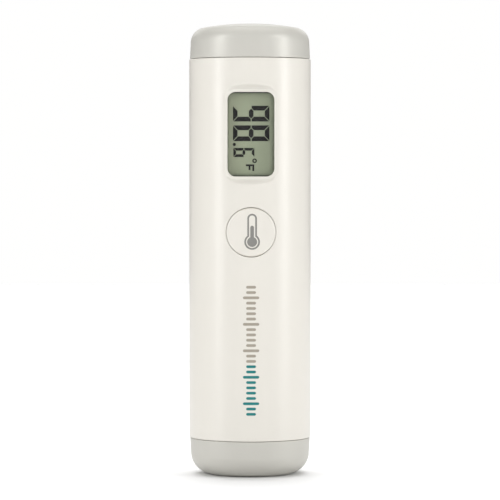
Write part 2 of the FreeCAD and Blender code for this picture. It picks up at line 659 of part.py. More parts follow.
# ---------------------------------------------------------------------------------------------
# Probe cap
# ---------------------------------------------------------------------------------------------
def cap_outline(inset):
    """Side, shoulder and dome of the probe cap, moved inwards by inset: the foot, then the steps."""
    foot = (END_R - inset, CAP_SEAM + SEAM_GAP)
    lean = math.degrees(math.atan2(END_R - CAP_SHOULDER_AT[0] - CAP_SHOULDER_R, CAP_SHOULDER_AT[1] - foot[1]))
    radius = CAP_SHOULDER_R - inset
    side_top = on_arc(CAP_SHOULDER_AT, radius, lean, lean)[1]
    shoulder = on_arc(CAP_SHOULDER_AT, radius, lean, 80.0)
    rim, apex = shoulder[1], (0.0, TOTAL_H - inset)
    rise = apex[1] - rim[1]
    dome_r = (rim[0] ** 2 + rise ** 2) / (2 * rise)
    edge_angle = math.degrees(math.acos(rim[0] / dome_r))
    dome = on_arc((0.0, apex[1] - dome_r), dome_r, edge_angle, 90.0)
    return foot, [side_top, shoulder, dome]


def probe_cap_shell():
    foot, outside = cap_outline(0.0)
    inner_foot, inside = cap_outline(CAP_SKIN)
    outer = turned(foot, *outside, (0.0, foot[1]))
    inner = turned(inner_foot, *inside, (0.0, inner_foot[1]))
    shell = outer.cut(inner)
    return rounded(shell, SOFT_EDGE * 0.8, lambda e: is_circle(e, END_R, foot[1]))


def probe_cap_liner():
    """Inner lining with the plug that holds the cap in the barrel."""
    _, outside = cap_outline(CAP_SKIN + LOOSE)
    _, inside = cap_outline(CAP_SKIN + LINER_SKIN)
    shoulder_z = CAP_SEAM + 0.15
    outer_r = END_R - CAP_SKIN - LOOSE
    inner_r = PLUG_R - PLUG_WALL
    skirt_top = (inner_r, CAP_SHOULDER_AT[1] - 0.4)
    outer = turned((outer_r, shoulder_z), *outside, (0.0, CAP_PLUG_Z), (PLUG_R - 0.3, CAP_PLUG_Z),
                   (PLUG_R, CAP_PLUG_Z + 0.5), (PLUG_R, shoulder_z))
    hollow = turned((inner_r + 0.3, CAP_PLUG_Z - 0.1), (inner_r, CAP_PLUG_Z + 0.5), skirt_top, *inside[1:],
                    (0.0, CAP_PLUG_Z - 0.1))
    return outer.cut(hollow)


# ---------------------------------------------------------------------------------------------
# Battery bay
# ---------------------------------------------------------------------------------------------
def both_cells(make):
    return [make(side * CELL_X) for side in (-1, 1)]


def battery_cradle():
    tubes = both_cells(lambda x: rod_z(CRADLE_R, CRADLE_Z, (x, 0)))
    web = box((-CELL_X, CELL_X), (-CRADLE_R, CRADLE_R), CRADLE_Z)
    flange = rod_z(FLANGE_R, (CRADLE_Z[0], CRADLE_Z[0] + CRADLE_FLANGE_T))
    # Two fins keep the cradle upright against the barrel's wall.
    fins = [box((-14.9, 14.9), (-0.6, 0.6), (z, z + 1.2)) for z in (34.0, 52.0)]
    cradle = web.multiFuse([*tubes, flange, *fins]).removeSplitter()
    bore = (CRADLE_Z[0] - 1, UPPER_CONTACT_Z + CONTACT_T + LOOSE)
    for hole in both_cells(lambda x: rod_z(BAY_R, bore, (x, 0))):
        cradle = cradle.cut(hole)
    # Slots through which the upper contacts pass to the board.
    slots = both_cells(lambda x: box((x - 2.6, x + 2.6), (-CRADLE_R - 1, 0),
                                     (UPPER_CONTACT_Z - LOOSE, UPPER_CONTACT_Z + CONTACT_T + LOOSE)))
    return cradle.cut(slots[0].fuse(slots[1]))


def battery(x, nub_up):
    """Steel can of one cell, with the nub at one end and a shallow ring at the other."""
    nub_r, nub_h = CELL_NUB
    can = rod_z(CELL_R, (CELL_Z, CELL_TOP - nub_h), (x, 0))
    can = rounded(can, 0.5, lambda e: e.BoundBox.ZLength < 1e-6)
    nub = rounded(rod_z(nub_r, (CELL_TOP - nub_h - 0.1, CELL_TOP), (x, 0)), 0.3,
                  lambda e: abs(e.BoundBox.ZMin - CELL_TOP) < 1e-6)
    cell = can.fuse(nub).cut(tube_z(3.6, 3.2, (CELL_Z - 0.1, CELL_Z + 0.15), (x, 0))).removeSplitter()
    if not nub_up:
        cell.rotate(Vector(x, 0, (CELL_Z + CELL_TOP) / 2), Vector(1, 0, 0), 180)
    return cell


def battery_sleeve(x, nub_up):
    """Printed sleeve around the can, turned in a little over each end."""
    ends = (CELL_Z, CELL_TOP - CELL_NUB[1]) if nub_up else (CELL_Z + CELL_NUB[1], CELL_TOP)
    return tube_z(CELL_R + CELL_SLEEVE_T, CELL_R + 0.01, (ends[0] + 0.7, ends[1] - 0.7), (x, 0))


def upper_contact(x, dome):
    """Nickel strip over one cell, bent up against the board's back. dome adds the stamped button."""
    half = 2.4
    strip = box((x - half, x + half), (BOARD_BACK_Y, 3.5), (UPPER_CONTACT_Z, UPPER_CONTACT_Z + CONTACT_T))
    tab = box((x - 1.2, x + 1.2), (BOARD_BACK_Y, BOARD_BACK_Y + CONTACT_T), (UPPER_CONTACT_Z, 62.5))
    contact = strip.fuse(tab)
    if dome:
        contact = contact.fuse(rod_z(1.6, (CELL_TOP + SPRING_GAP, UPPER_CONTACT_Z), (x, 0)))
    return contact.removeSplitter()


def bridge_contact():
    """Strip in the base cap that joins the two cells, with a button under the nub."""
    z = (LOWER_CONTACT_Z, LOWER_CONTACT_Z + CONTACT_T)
    strip = box((-CELL_X - 3.4, CELL_X + 3.4), (-3.2, 3.2), z)
    strip = rounded(strip, 1.2, lambda e: e.BoundBox.ZLength > 0.2 and e.BoundBox.XLength < 1e-6)
    button = rod_z(1.9, (z[1], CELL_Z - SPRING_GAP), (CELL_X, 0))
    button = rounded(button, 0.5, lambda e: abs(e.BoundBox.ZMin - CELL_Z + SPRING_GAP) < 1e-6)
    return strip.fuse(button)


# ---------------------------------------------------------------------------------------------
# Base cap
# ---------------------------------------------------------------------------------------------
def base_outline(inset):
    """Foot, corner and side of the base cap, moved inwards by inset."""
    centre = (FOOT_R, BASE_CORNER_R)
    side_top = (END_R - inset, BASE_SEAM - SEAM_GAP)
    lean = math.degrees(math.atan2(END_R - FOOT_R - BASE_CORNER_R, side_top[1] - BASE_CORNER_R))
    corner = on_arc(centre, BASE_CORNER_R - inset, -90.0, -lean)
    return (FOOT_R, inset), corner, side_top


def base_cap_shell():
    foot, corner, side_top = base_outline(0.0)
    outer = turned(foot, corner, side_top, (0.0, side_top[1]), (0.0, foot[1]))
    foot, corner, side_top = base_outline(BASE_SKIN)
    inner = turned(foot, corner, side_top, (0.0, side_top[1]), (0.0, foot[1]))
    shell = outer.cut(inner)
    return rounded(shell, SOFT_EDGE * 0.8, lambda e: is_circle(e, END_R, side_top[1]))


SEAL_Z = 12.3
SEAL_WIRE = 0.42
SEAL_R = PLUG_R - 0.27


def base_cap_insert():
    """Cup that carries the bridge contact and plugs into the barrel."""
    foot, corner, side_top = base_outline(BASE_SKIN + LOOSE)
    shoulder = (side_top[0], BASE_SEAM - 0.15)
    inner_r = PLUG_R - PLUG_WALL
    outer = turned(foot, corner, shoulder, (PLUG_R, shoulder[1]), (PLUG_R, BASE_PLUG_Z - 0.5),
                   (PLUG_R - 0.3, BASE_PLUG_Z), (0.0, BASE_PLUG_Z), (0.0, foot[1]))
    floor = BASE_SKIN + LOOSE + INSERT_FLOOR
    foot, corner, _ = base_outline(BASE_SKIN + LOOSE + INSERT_FLOOR)
    hollow = turned(foot, corner, (inner_r, BASE_CORNER_R + 1.6), (inner_r, BASE_PLUG_Z + 1),
                    (0.0, BASE_PLUG_Z + 1), (0.0, floor))
    cup = outer.cut(hollow)
    pads = both_cells(lambda x: rod_z(3.0, (floor - 0.1, LOWER_CONTACT_Z), (x, 0)))
    key = box((-KEY_HALF_W, KEY_HALF_W), (inner_r + 0.4, KEY_R), (shoulder[1], KEY_TOP))
    cup = cup.multiFuse([*pads, key]).removeSplitter()
    groove = Part.makeTorus(SEAL_R, SEAL_WIRE + 0.03, Vector(0, 0, SEAL_Z))
    return cup.cut(groove)


def base_seal():
    ring = Part.makeTorus(SEAL_R, SEAL_WIRE, Vector(0, 0, SEAL_Z))
    key_gap = KEY_HALF_W + LOOSE
    return ring.cut(box((-key_gap, key_gap), (0, FAR), (SEAL_Z - 1, SEAL_Z + 1)))


# ---------------------------------------------------------------------------------------------
# The whole thermometer
# ---------------------------------------------------------------------------------------------
def all_pieces():
    """Every node by name. A list holds separate solids of one node."""
    pieces = {
        "front_shell": front_shell(),
        "rear_shell": rear_shell(),
        "display_window": display_window(),
        "window_gasket": window_gasket(),
        **lcd_pieces(),
        "lcd_holder": lcd_holder(),
        "contact_strip_upper": contact_strip(True),
        "contact_strip_lower": contact_strip(False),
        "scan_button": scan_button(),
        "switch_base": switch_base(),
        "switch_cover": switch_cover(),
        "switch_plunger": switch_plunger(),
        "circuit_board": circuit_board(),
        "main_chip": main_chip(),
        "memory_chip": memory_chip(),
        "crystal": crystal(),
        "chip_components": chip_components(),
        "buzzer": buzzer(),
        "flex_connector": flex_connector(),
        "sensor_flex": sensor_flex(),
        "board_screws": [screw(at, BOARD_BACK_Y, **BOARD_SCREW) for at in BOARD_SCREWS],
        "housing_screws": [screw(at, HEAD_SEAT_Y, **HOUSING_SCREW) for at in HOUSING_SCREWS],
        "probe_housing": probe_housing(),
        "probe_window": probe_window(),
        "probe_seal": probe_seal(),
        "sensor_sleeve": sensor_sleeve(),
        "sensor_can": sensor_can(),
        "sensor_filter": sensor_filter(),
        "thermopile_chip": thermopile_chip(),
        "sensor_header": sensor_header(),
        "sensor_leads": sensor_leads(),
        "sensor_retainer": sensor_retainer(),
        "sensor_board": sensor_board(),
        "battery_cradle": battery_cradle(),
        "battery_left": battery(-CELL_X, True),
        "battery_right": battery(CELL_X, False),
        "battery_left_sleeve": battery_sleeve(-CELL_X, True),
        "battery_right_sleeve": battery_sleeve(CELL_X, False),
        "positive_contact": upper_contact(-CELL_X, True),
        "negative_contact": upper_contact(CELL_X, False),
        "upper_spring": coil((CELL_TOP + SPRING_GAP, UPPER_CONTACT_Z), (CELL_X, 0)),
        "probe_cap_shell": probe_cap_shell(),
        "probe_cap_liner": probe_cap_liner(),
        "base_cap_shell": base_cap_shell(),
        "base_cap_insert": base_cap_insert(),
        "base_seal": base_seal(),
        "bridge_contact": bridge_contact(),
        "base_spring": coil((LOWER_CONTACT_Z + CONTACT_T, CELL_Z - SPRING_GAP), (-CELL_X, 0)),
    }
    return pieces


def write_steps():
    """Checks every piece and writes it to its own file."""
    os.makedirs("parts", exist_ok=True)
    for name, piece in all_pieces().items():
        shape = Part.makeCompound(piece) if isinstance(piece, list) else piece
        if not shape.isValid() or not shape.Solids:
            raise RuntimeError(name + " is not a valid solid")
        shape = Part.makeCompound(shape.Solids) if len(shape.Solids) > 1 else shape.Solids[0]
        shape.exportStep("parts/" + name + ".step")
        print(f"{name:24s} {len(shape.Solids)} solids {shape.Volume:10.1f} mm3")


write_steps()
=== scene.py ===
import math

import bmesh
import bpy
import numpy as np
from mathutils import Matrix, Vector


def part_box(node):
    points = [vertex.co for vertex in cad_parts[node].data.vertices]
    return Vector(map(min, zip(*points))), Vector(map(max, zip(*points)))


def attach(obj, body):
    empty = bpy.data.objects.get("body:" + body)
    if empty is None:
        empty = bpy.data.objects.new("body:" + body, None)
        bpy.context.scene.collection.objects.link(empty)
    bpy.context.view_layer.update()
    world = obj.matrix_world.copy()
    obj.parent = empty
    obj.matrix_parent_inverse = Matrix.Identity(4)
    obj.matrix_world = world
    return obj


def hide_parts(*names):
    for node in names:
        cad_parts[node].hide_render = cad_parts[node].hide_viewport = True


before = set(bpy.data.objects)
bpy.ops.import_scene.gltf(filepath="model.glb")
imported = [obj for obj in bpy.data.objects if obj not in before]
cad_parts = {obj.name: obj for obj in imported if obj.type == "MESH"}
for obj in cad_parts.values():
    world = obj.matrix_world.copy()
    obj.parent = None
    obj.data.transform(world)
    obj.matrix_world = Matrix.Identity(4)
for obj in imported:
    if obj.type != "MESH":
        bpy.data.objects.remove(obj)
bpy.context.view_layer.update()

MM = 0.001


def node_box(node):
    """Lowest and highest corner of a CAD node, in millimetres."""
    low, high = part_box(node)
    return np.array(low) / MM, np.array(high) / MM


# ----------------------------------------------------------
# Base cap shell: the grey cup that the thermometer stands on, moulded in pearl plastic. It is
# pushed on with its insert, and comes off for the batteries.
# ----------------------------------------------------------
def arc(centre, radius, start, end, steps=16):
    """Points c + R (cos a, sin a), with the angle a running evenly from start to end in degrees."""
    a = np.radians(np.linspace(start, end, steps + 1))
    return np.stack([centre[0] + radius * np.cos(a), centre[1] + radius * np.sin(a)], -1)


def outline_of(*parts, support=0.12):
    """Closed (r, z) outline from points and arcs. Each long straight run gets a point close to both
    of its ends, so that shading stays crisp beside a rounded edge."""
    points = np.concatenate([np.atleast_2d(np.array(p, float)) for p in parts])
    points = np.concatenate([points, points[:1]])
    made = [points[0]]
    for here, there in zip(points[:-1], points[1:]):
        run = np.linalg.norm(there - here)
        if run > 4 * support:
            step = (there - here) / run * support
            made += [here + step, there - step]
        made.append(there)
    return np.array(made)


def turned(outline, at=(0.0, 0.0), steps=160):
    """Surface of revolution about a vertical axis: (x0 + r cos t, y0 + r sin t, z)."""
    t = np.linspace(0, 2 * math.pi, steps + 1)
    r, z = outline[:, :1], outline[:, 1:]
    x = at[0] + r * np.cos(t)
    y = at[1] + r * np.sin(t)
    return np.stack([x, y, z + 0 * x], -1)


def turned_y(outline, at, steps=96):
    """The same about an axis along Y through (x, z): the outline's second value is y."""
    return turned(outline, at, steps)[..., [0, 2, 1]]


def add_object(name, data):
    """New object in the scene, at the origin."""
    made = bpy.data.objects.new(name, data)
    bpy.context.scene.collection.objects.link(made)
    return made


def add_piece(name, patches, body, slot, stands_for=(), crisp=38.0):
    """One closed mesh from quad grids in mm (rows, columns, 3), on its body and with its slot's
    finish. Shared borders are merged, the faces are turned outwards, and edges sharper than crisp
    degrees are shaded sharp."""
    vertices = np.concatenate([p.reshape(-1, 3) for p in patches]) * MM
    quads = []
    first = 0
    for p in patches:
        index = first + np.arange(p.shape[0] * p.shape[1]).reshape(p.shape[:2])
        corners = (index[:-1, :-1], index[1:, :-1], index[1:, 1:], index[:-1, 1:])
        quads.append(np.stack(corners, -1).reshape(-1, 4))
        first += index.size
    mesh = bpy.data.meshes.new(name)
    mesh.from_pydata(vertices.tolist(), [], np.concatenate(quads).tolist())
    work = bmesh.new()
    work.from_mesh(mesh)
    bmesh.ops.remove_doubles(work, verts=work.verts, dist=0.0015 * MM)
    bmesh.ops.recalc_face_normals(work, faces=work.faces)
    work.to_mesh(mesh)
    work.free()
    mesh.shade_smooth()
    mesh.set_sharp_from_angle(angle=math.radians(crisp))
    mesh.materials.append(FINISHES[slot])
    piece = add_object(name, mesh)
    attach(piece, body)
    if stands_for:
        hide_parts(*stands_for)
    return piece


def feed(tree, node, inputs):
    """Gives each input of a node its value, or the output socket that drives it."""
    for label, value in inputs.items():
        if isinstance(value, bpy.types.NodeSocket):
            tree.links.new(value, node.inputs[label])
        else:
            node.inputs[label].default_value = value


def add_node(tree, kind, inputs, **settings):
    """New shader node: its settings come first, then its inputs."""
    node = tree.nodes.new(kind)
    for name, value in settings.items():
        setattr(node, name, value)
    feed(tree, node, inputs)
    return node


def eased(tree, value, start, end, low=0.0, high=1.0):
    """Goes from low to high while a value goes from start to end, eased at both ends."""
    inputs = {"Value": value, "From Min": start, "From Max": end, "To Min": low, "To Max": high}
    ramp = add_node(tree, "ShaderNodeMapRange", inputs, interpolation_type="SMOOTHSTEP")
    return ramp.outputs["Result"]


def blend(tree, factor, a, b, data_type="RGBA"):
    """Mix of two colours, or of two numbers, by a factor."""
    inputs = {"Factor": factor, "A": a, "B": b}
    return add_node(tree, "ShaderNodeMix", inputs, data_type=data_type).outputs["Result"]


# Every surface shares one group for what moulding, plating and handling leave on it: a slow drift
# of tone, a fine grain that lifts the surface, and patches that are a little duller.
PATCH_SCALE = 120.0
GRAIN_HEIGHT = 0.00002
GROUP_INPUTS = {
    "Colour": (0.8, 0.8, 0.8, 1), "Drift Colour": (0.7, 0.7, 0.7, 1), "Drift Scale": 40.0,
    "Drift Amount": 0.3, "Grain Scale": 3000.0, "Grain Depth": 0.1, "Smooth Roughness": 0.3,
    "Dull Roughness": 0.4,
}


def surface_group():
    """Shader group: colour drift, roughness patches, grain bump, all on Object coordinates."""
    group = bpy.data.node_groups.new("surface_finish", "ShaderNodeTree")
    new_socket = group.interface.new_socket
    for label, value in GROUP_INPUTS.items():
        kind = "NodeSocketFloat" if isinstance(value, float) else "NodeSocketColor"
        new_socket(label, in_out="INPUT", socket_type=kind).default_value = value
    for label, kind in (("Colour", "Color"), ("Roughness", "Float"), ("Normal", "Vector")):
        new_socket(label, in_out="OUTPUT", socket_type=f"NodeSocket{kind}")
    given = add_node(group, "NodeGroupInput", {}).outputs
    where = add_node(group, "ShaderNodeTexCoord", {}).outputs["Object"]

    def noise(scale, detail):
        inputs = {"Vector": where, "Scale": scale, "Detail": detail}
        return add_node(group, "ShaderNodeTexNoise", inputs).outputs["Fac"]

    drift = eased(group, noise(given["Drift Scale"], 3.0), 0.2, 0.8, high=given["Drift Amount"])
    dull = eased(group, noise(PATCH_SCALE, 4.0), 0.2, 0.8)
    bump = add_node(group, "ShaderNodeBump", {
        "Distance": GRAIN_HEIGHT, "Strength": given["Grain Depth"],
        "Height": noise(given["Grain Scale"], 2.0)})
    add_node(group, "NodeGroupOutput", {
        "Colour": blend(group, drift, given["Colour"], given["Drift Colour"]),
        "Roughness": blend(group, dull, given["Smooth Roughness"], given["Dull Roughness"], "FLOAT"),
        "Normal": bump.outputs["Normal"]})
    return group


SURFACE = surface_group()
FINISHES = {}


def finish(slot, colour, drift=None, amount=0.3, drift_scale=60.0, grain=2500.0, depth=0.1,
           roughness=(0.3, 0.4), metallic=0.0, coat=0.0, coat_roughness=0.1, alpha=1.0):
    """Material of one slot: a Principled shader fed by the surface group. Colours are linear."""
    material = bpy.data.materials.new(slot)
    material.use_nodes = True
    tree = material.node_tree
    other = drift or tuple(c * 0.8 for c in colour)
    values = ((*colour, 1), (*other, 1), drift_scale, amount, grain, depth, *roughness)
    surface = add_node(tree, "ShaderNodeGroup", dict(zip(GROUP_INPUTS, values)), node_tree=SURFACE).outputs
    feed(tree, tree.nodes["Principled BSDF"], {
        "Base Color": surface["Colour"], "Roughness": surface["Roughness"], "Normal": surface["Normal"],
        "Metallic": metallic, "Coat Weight": coat, "Coat Roughness": coat_roughness, "Alpha": alpha})
    FINISHES[slot] = material


def paint(slot, *nodes):
    """Gives CAD nodes that keep their shape the finish of a slot."""
    for node in nodes:
        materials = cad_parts[node].data.materials
        materials.clear()
        materials.append(FINISHES[slot])


# Pearl plastic: fine metal flake under a satin skin.
finish("cap_plastic", (0.63, 0.617, 0.567), (0.60, 0.587, 0.537), amount=0.35, drift_scale=90.0,
       grain=5200.0, depth=0.10, roughness=(0.36, 0.44), metallic=0.12, coat=0.1, coat_roughness=0.3)

BARREL_R = node_box("front_shell")[1][0]
BASE_SEAM = node_box("front_shell")[0][2]
CAP_SEAM = node_box("front_shell")[1][2]
END_R = node_box("base_cap_shell")[1][0]
BASE_TOP = BASE_SEAM - 0.12
FOOT_R = 10.55
CORNER_R = 6.0
BASE_SKIN = 1.4
SOFT_EDGE = 0.16


def base_outline():
    """Foot, round corner, slightly leaning side, soft rim, and the same inside at the skin's depth."""
    lean = math.degrees(math.atan2(END_R - FOOT_R - CORNER_R, BASE_TOP - CORNER_R))
    centre = (FOOT_R, CORNER_R)
    rim = (END_R - SOFT_EDGE, BASE_TOP - SOFT_EDGE)
    return outline_of(
        (0.0, 0.0), (FOOT_R - 1.0, 0.0), arc(centre, CORNER_R, -90.0, -lean, 28),
        arc(rim, SOFT_EDGE, 0.0, 90.0, 6), (END_R - BASE_SKIN, BASE_TOP),
        arc(centre, CORNER_R - BASE_SKIN, -lean, -90.0, 20), (0.0, BASE_SKIN))


add_piece("base_cap_shell_moulding", [turned(base_outline())], "base_cap", "cap_plastic",
          ["base_cap_shell"])

# ----------------------------------------------------------
# Base cap insert: the plain inner cup. Its plug slides into the barrel, a rib keys it one way
# round, and it carries the rubber ring, the contact bridge and one spring.
# ----------------------------------------------------------
def rounded_rect(u, v, half_w, half_h, corner):
    """Where the direction (u, v), a point on the border of the square -1..1, meets a rounded
    rectangle: the plain rectangle's point, pulled radially onto the corner's arc near a corner."""
    x, z = half_w * u, half_h * v
    over_x = np.maximum(np.abs(x) - (half_w - corner), 0.0)
    over_z = np.maximum(np.abs(z) - (half_h - corner), 0.0)
    in_corner = (over_x > 0) & (over_z > 0)
    length = np.where(in_corner, np.hypot(over_x, over_z), 1.0)
    round_x = np.sign(x) * (half_w - corner + corner * over_x / length)
    round_z = np.sign(z) * (half_h - corner + corner * over_z / length)
    return np.where(in_corner, round_x, x), np.where(in_corner, round_z, z)


def square_border(across, up):
    """Border of the square -1..1, anticlockwise from its lower left corner, from the divisions of
    its horizontal and vertical sides."""
    u = np.concatenate([across, np.ones(len(up) - 1), across[::-1][1:], -np.ones(len(up) - 1)])
    v = np.concatenate([-np.ones(len(across)), up[1:], np.ones(len(across) - 1), up[::-1][1:]])
    return u, v


def stack_rings(rings):
    """Grid from closed rings of points, one ring to a row."""
    return np.array([np.stack(np.broadcast_arrays(*ring), -1) for ring in rings], float)


def block(low, high, corner, bevel, along=1, divisions=10):
    """Rounded block between two corners: rounded rectangles stacked along one axis, with bevelled
    ends that close on their middle line."""
    low, high = np.array(low, float), np.array(high, float)
    a, b = [axis for axis in range(3) if axis != along]
    middle, half = (low + high) / 2, (high - low) / 2
    u, v = square_border(*[np.linspace(-1, 1, divisions + 1)] * 2)
    start, end = low[along], high[along]
    turns = np.radians(np.linspace(0, 90, 4))
    levels = [(1 - math.sin(t), start + bevel * (1 - math.cos(t))) for t in turns[::-1]]
    levels = levels[::-1] + [(1 - math.sin(t), end - bevel * (1 - math.cos(t))) for t in turns[::-1]]
    rings = []
    for inset, level in [(None, start), *levels, (None, end)]:
        if inset is None:
            across, up = half[a] * u * 0.5, half[b] * v * 0.0
        else:
            shrink = bevel * inset
            across, up = rounded_rect(u, v, half[a] - shrink, half[b] - shrink, max(corner - shrink, 0.02))
        ring = [None, None, None]
        ring[a], ring[b], ring[along] = middle[a] + across, middle[b] + up, np.full_like(u, level)
        rings.append(ring)
    return stack_rings(rings)


finish("liner_plastic", (0.64, 0.63, 0.58), amount=0.25, grain=1800.0, depth=0.25,
       roughness=(0.42, 0.55))
finish("seal_rubber", (0.022, 0.022, 0.023), (0.05, 0.05, 0.05), grain=3000.0, depth=0.4,
       roughness=(0.5, 0.7))
finish("contact_nickel", (0.62, 0.59, 0.53), (0.45, 0.42, 0.37), drift_scale=150.0, metallic=1.0,
       grain=4000.0, depth=0.15, roughness=(0.28, 0.40))

BORE_R = BARREL_R - 1.8
PLUG_R = BORE_R - 0.25
PLUG_IN = PLUG_R - 1.1
INSERT_TOP = node_box("base_cap_insert")[1][2]
SEAL_WIRE = 0.42
SEAL_Z = node_box("base_seal")[0][2] + SEAL_WIRE
SEAL_R = PLUG_R - 0.27


def insert_outline():
    """Cup with a round corner, a shoulder under the barrel, the grooved plug and the hollow inside."""
    out, inner = BASE_SKIN + 0.05, BASE_SKIN + 1.25
    shoulder = BASE_SEAM - 0.15
    groove = arc((SEAL_R, SEAL_Z), SEAL_WIRE + 0.03, -53.0, -307.0, 14)
    return outline_of(
        (0.0, out), arc((FOOT_R, CORNER_R), CORNER_R - out, -90.0, -1.5, 14), (END_R - out, shoulder),
        (PLUG_R, shoulder), groove, (PLUG_R, INSERT_TOP - 0.5), (PLUG_R - 0.3, INSERT_TOP),
        arc((PLUG_IN + 0.2, INSERT_TOP - 0.2), 0.2, 90.0, 180.0, 5),
        (PLUG_IN, CORNER_R + 1.6), arc((FOOT_R, CORNER_R), CORNER_R - inner, -2.0, -90.0, 12), (0.0, inner))


BRIDGE_LOW = node_box("bridge_contact")[0][2]
CELL_X = 5.75
key = block((-1.2, PLUG_IN + 0.4, BASE_SEAM - 0.15), (1.2, 15.6, 13.0), 0.3, 0.2)
pad = outline_of((0.0, 2.6), (3.0, 2.6), (3.0, BRIDGE_LOW), (0.0, BRIDGE_LOW))
pads = [turned(pad, (side * CELL_X, 0.0), 48) for side in (-1, 1)]
add_piece("base_cap_insert_moulding", [turned(insert_outline()), key, *pads], "base_cap",
          "liner_plastic", ["base_cap_insert"])


def capped(tube):
    """Tube of rings, closed by a point in the middle of its first and its last ring."""
    first, last = (np.repeat(tube[row].mean(axis=0)[None], tube.shape[1], 0)[None] for row in (0, -1))
    return np.concatenate([first, tube, last])


def seal_ring(radius, wire, z, gap_half=0.0):
    """Torus of the given wire radius; a gap round +Y leaves room for the key, with closed ends."""
    start = math.pi / 2 + gap_half / radius
    t = np.linspace(start, start + 2 * (math.pi - gap_half / radius), 201)[:, None]
    p = np.linspace(0, 2 * math.pi, 17)[None, :]
    r = radius + wire * np.cos(p)
    ring = np.stack([r * np.cos(t), r * np.sin(t), z + wire * np.sin(p) + 0 * t], -1)
    return capped(ring) if gap_half else ring


add_piece("base_seal_ring", [seal_ring(SEAL_R, SEAL_WIRE, SEAL_Z, 1.25)], "base_cap", "seal_rubber",
          ["base_seal"])
paint("contact_nickel", "bridge_contact")


def coil(radius, wire, low, high, turns, at):
    """Compression spring: a helix whose pitch is small in its first and last half turn, so that the
    ends lie flat. Each cross-section is a circle between the radial and the vertical direction."""
    s = np.linspace(0, 1, int(turns * 40) + 1)
    flat = 0.5 / turns
    rise = np.clip((s - flat * 0.6) / (1 - flat * 1.2), 0, 1)
    z = low + wire + (high - low - 2 * wire) * rise * rise * (3 - 2 * rise)
    a = 2 * math.pi * turns * s
    p = np.linspace(0, 2 * math.pi, 13)
    r = radius + wire * np.cos(p)[None, :]
    x = at[0] + r * np.cos(a)[:, None]
    y = at[1] + r * np.sin(a)[:, None]
    return capped(np.stack([x, y, z[:, None] + wire * np.sin(p)[None, :]], -1))


SPRING = (2.6, 0.25)         # radius of the coil and of its wire
SPRING_TURNS = 2.5
low, high = node_box("base_spring")
spring = coil(*SPRING, low[2], high[2], SPRING_TURNS, (-CELL_X, 0.0))
add_piece("base_spring_coil", [spring], "base_cap", "contact_nickel", ["base_spring"])

# ----------------------------------------------------------
# Batteries: two AAA cells, one up and one down. Each is a nickel-plated steel can with a nub at
# one end, in a printed film sleeve with a plain band at the nub's end.
# ----------------------------------------------------------
finish("cell_can", (0.60, 0.59, 0.57), drift_scale=120.0, metallic=1.0, grain=900.0, depth=0.12,
       roughness=(0.18, 0.27))
finish("cell_print", (0.012, 0.10, 0.13), (0.018, 0.13, 0.16), drift_scale=80.0, roughness=(0.18, 0.26),
       coat=0.5, coat_roughness=0.06)
finish("cell_band", (0.55, 0.27, 0.13), drift_scale=80.0, metallic=0.7, roughness=(0.20, 0.27))
CELL_R = 5.1
NUB_R, NUB_H = 1.9, 0.9
SLEEVE_R = CELL_R + 0.12


def flipped(outline, span):
    """The outline turned end for end within the span."""
    return np.stack([outline[:, 0], span[0] + span[1] - outline[:, 1]], -1)


for side, name in ((-1, "left"), (1, "right")):
    low, high = node_box(f"battery_{name}")
    span = (low[2], high[2])
    top = span[1] - NUB_H
    can = outline_of(
        (0.0, span[0] + 0.12), (3.1, span[0] + 0.12), (3.3, span[0]), (4.5, span[0]),
        arc((CELL_R - 0.5, span[0] + 0.5), 0.5, -90.0, 0.0, 8),
        arc((CELL_R - 0.5, top - 0.5), 0.5, 0.0, 90.0, 8),
        (4.0, top), (3.8, top - 0.12), (2.9, top - 0.12), (2.5, top), (NUB_R, top),
        arc((NUB_R - 0.3, span[1] - 0.3), 0.3, 0.0, 90.0, 6), (0.0, span[1]))
    sleeve = outline_of((CELL_R - 0.02, span[0] + 0.45), (CELL_R + 0.02, span[0] + 0.45),
                        (SLEEVE_R, span[0] + 0.7), (SLEEVE_R, top - 0.7), (CELL_R + 0.02, top - 0.45),
                        (CELL_R - 0.02, top - 0.45))
    band = outline_of((SLEEVE_R - 0.04, top - 9.0), (SLEEVE_R + 0.02, top - 8.96),
                      (SLEEVE_R + 0.02, top - 0.75), (SLEEVE_R - 0.04, top - 0.7))
    if side > 0:
        can, sleeve, band = (flipped(shape, span) for shape in (can, sleeve, band))
    at = (side * CELL_X, 0.0)
    add_piece(f"battery_{name}_can", [turned(can, at, 96)], "barrel", "cell_can", [f"battery_{name}"])
    add_piece(f"battery_{name}_film", [turned(sleeve, at, 96)], "barrel", "cell_print",
              [f"battery_{name}_sleeve"])
    ring = add_piece(f"battery_{name}_band", [turned(band, at, 96)], "barrel", "cell_band")

# ----------------------------------------------------------
# Battery cradle: a natural-coloured moulding of two tubes, held by its flange in the grooves of
# the shells. The contacts over the cells are pressed nickel strip, bent up against the board.
# ----------------------------------------------------------
finish("cradle_plastic", (0.58, 0.565, 0.52), (0.50, 0.49, 0.45), amount=0.4, grain=1500.0, depth=0.3,
       roughness=(0.45, 0.6))
paint("cradle_plastic", "battery_cradle")
paint("contact_nickel", "positive_contact", "negative_contact")
low, high = node_box("upper_spring")
spring = coil(*SPRING, low[2], high[2], SPRING_TURNS, (CELL_X, 0.0))
add_piece("upper_spring_coil", [spring], "barrel", "contact_nickel", ["upper_spring"])

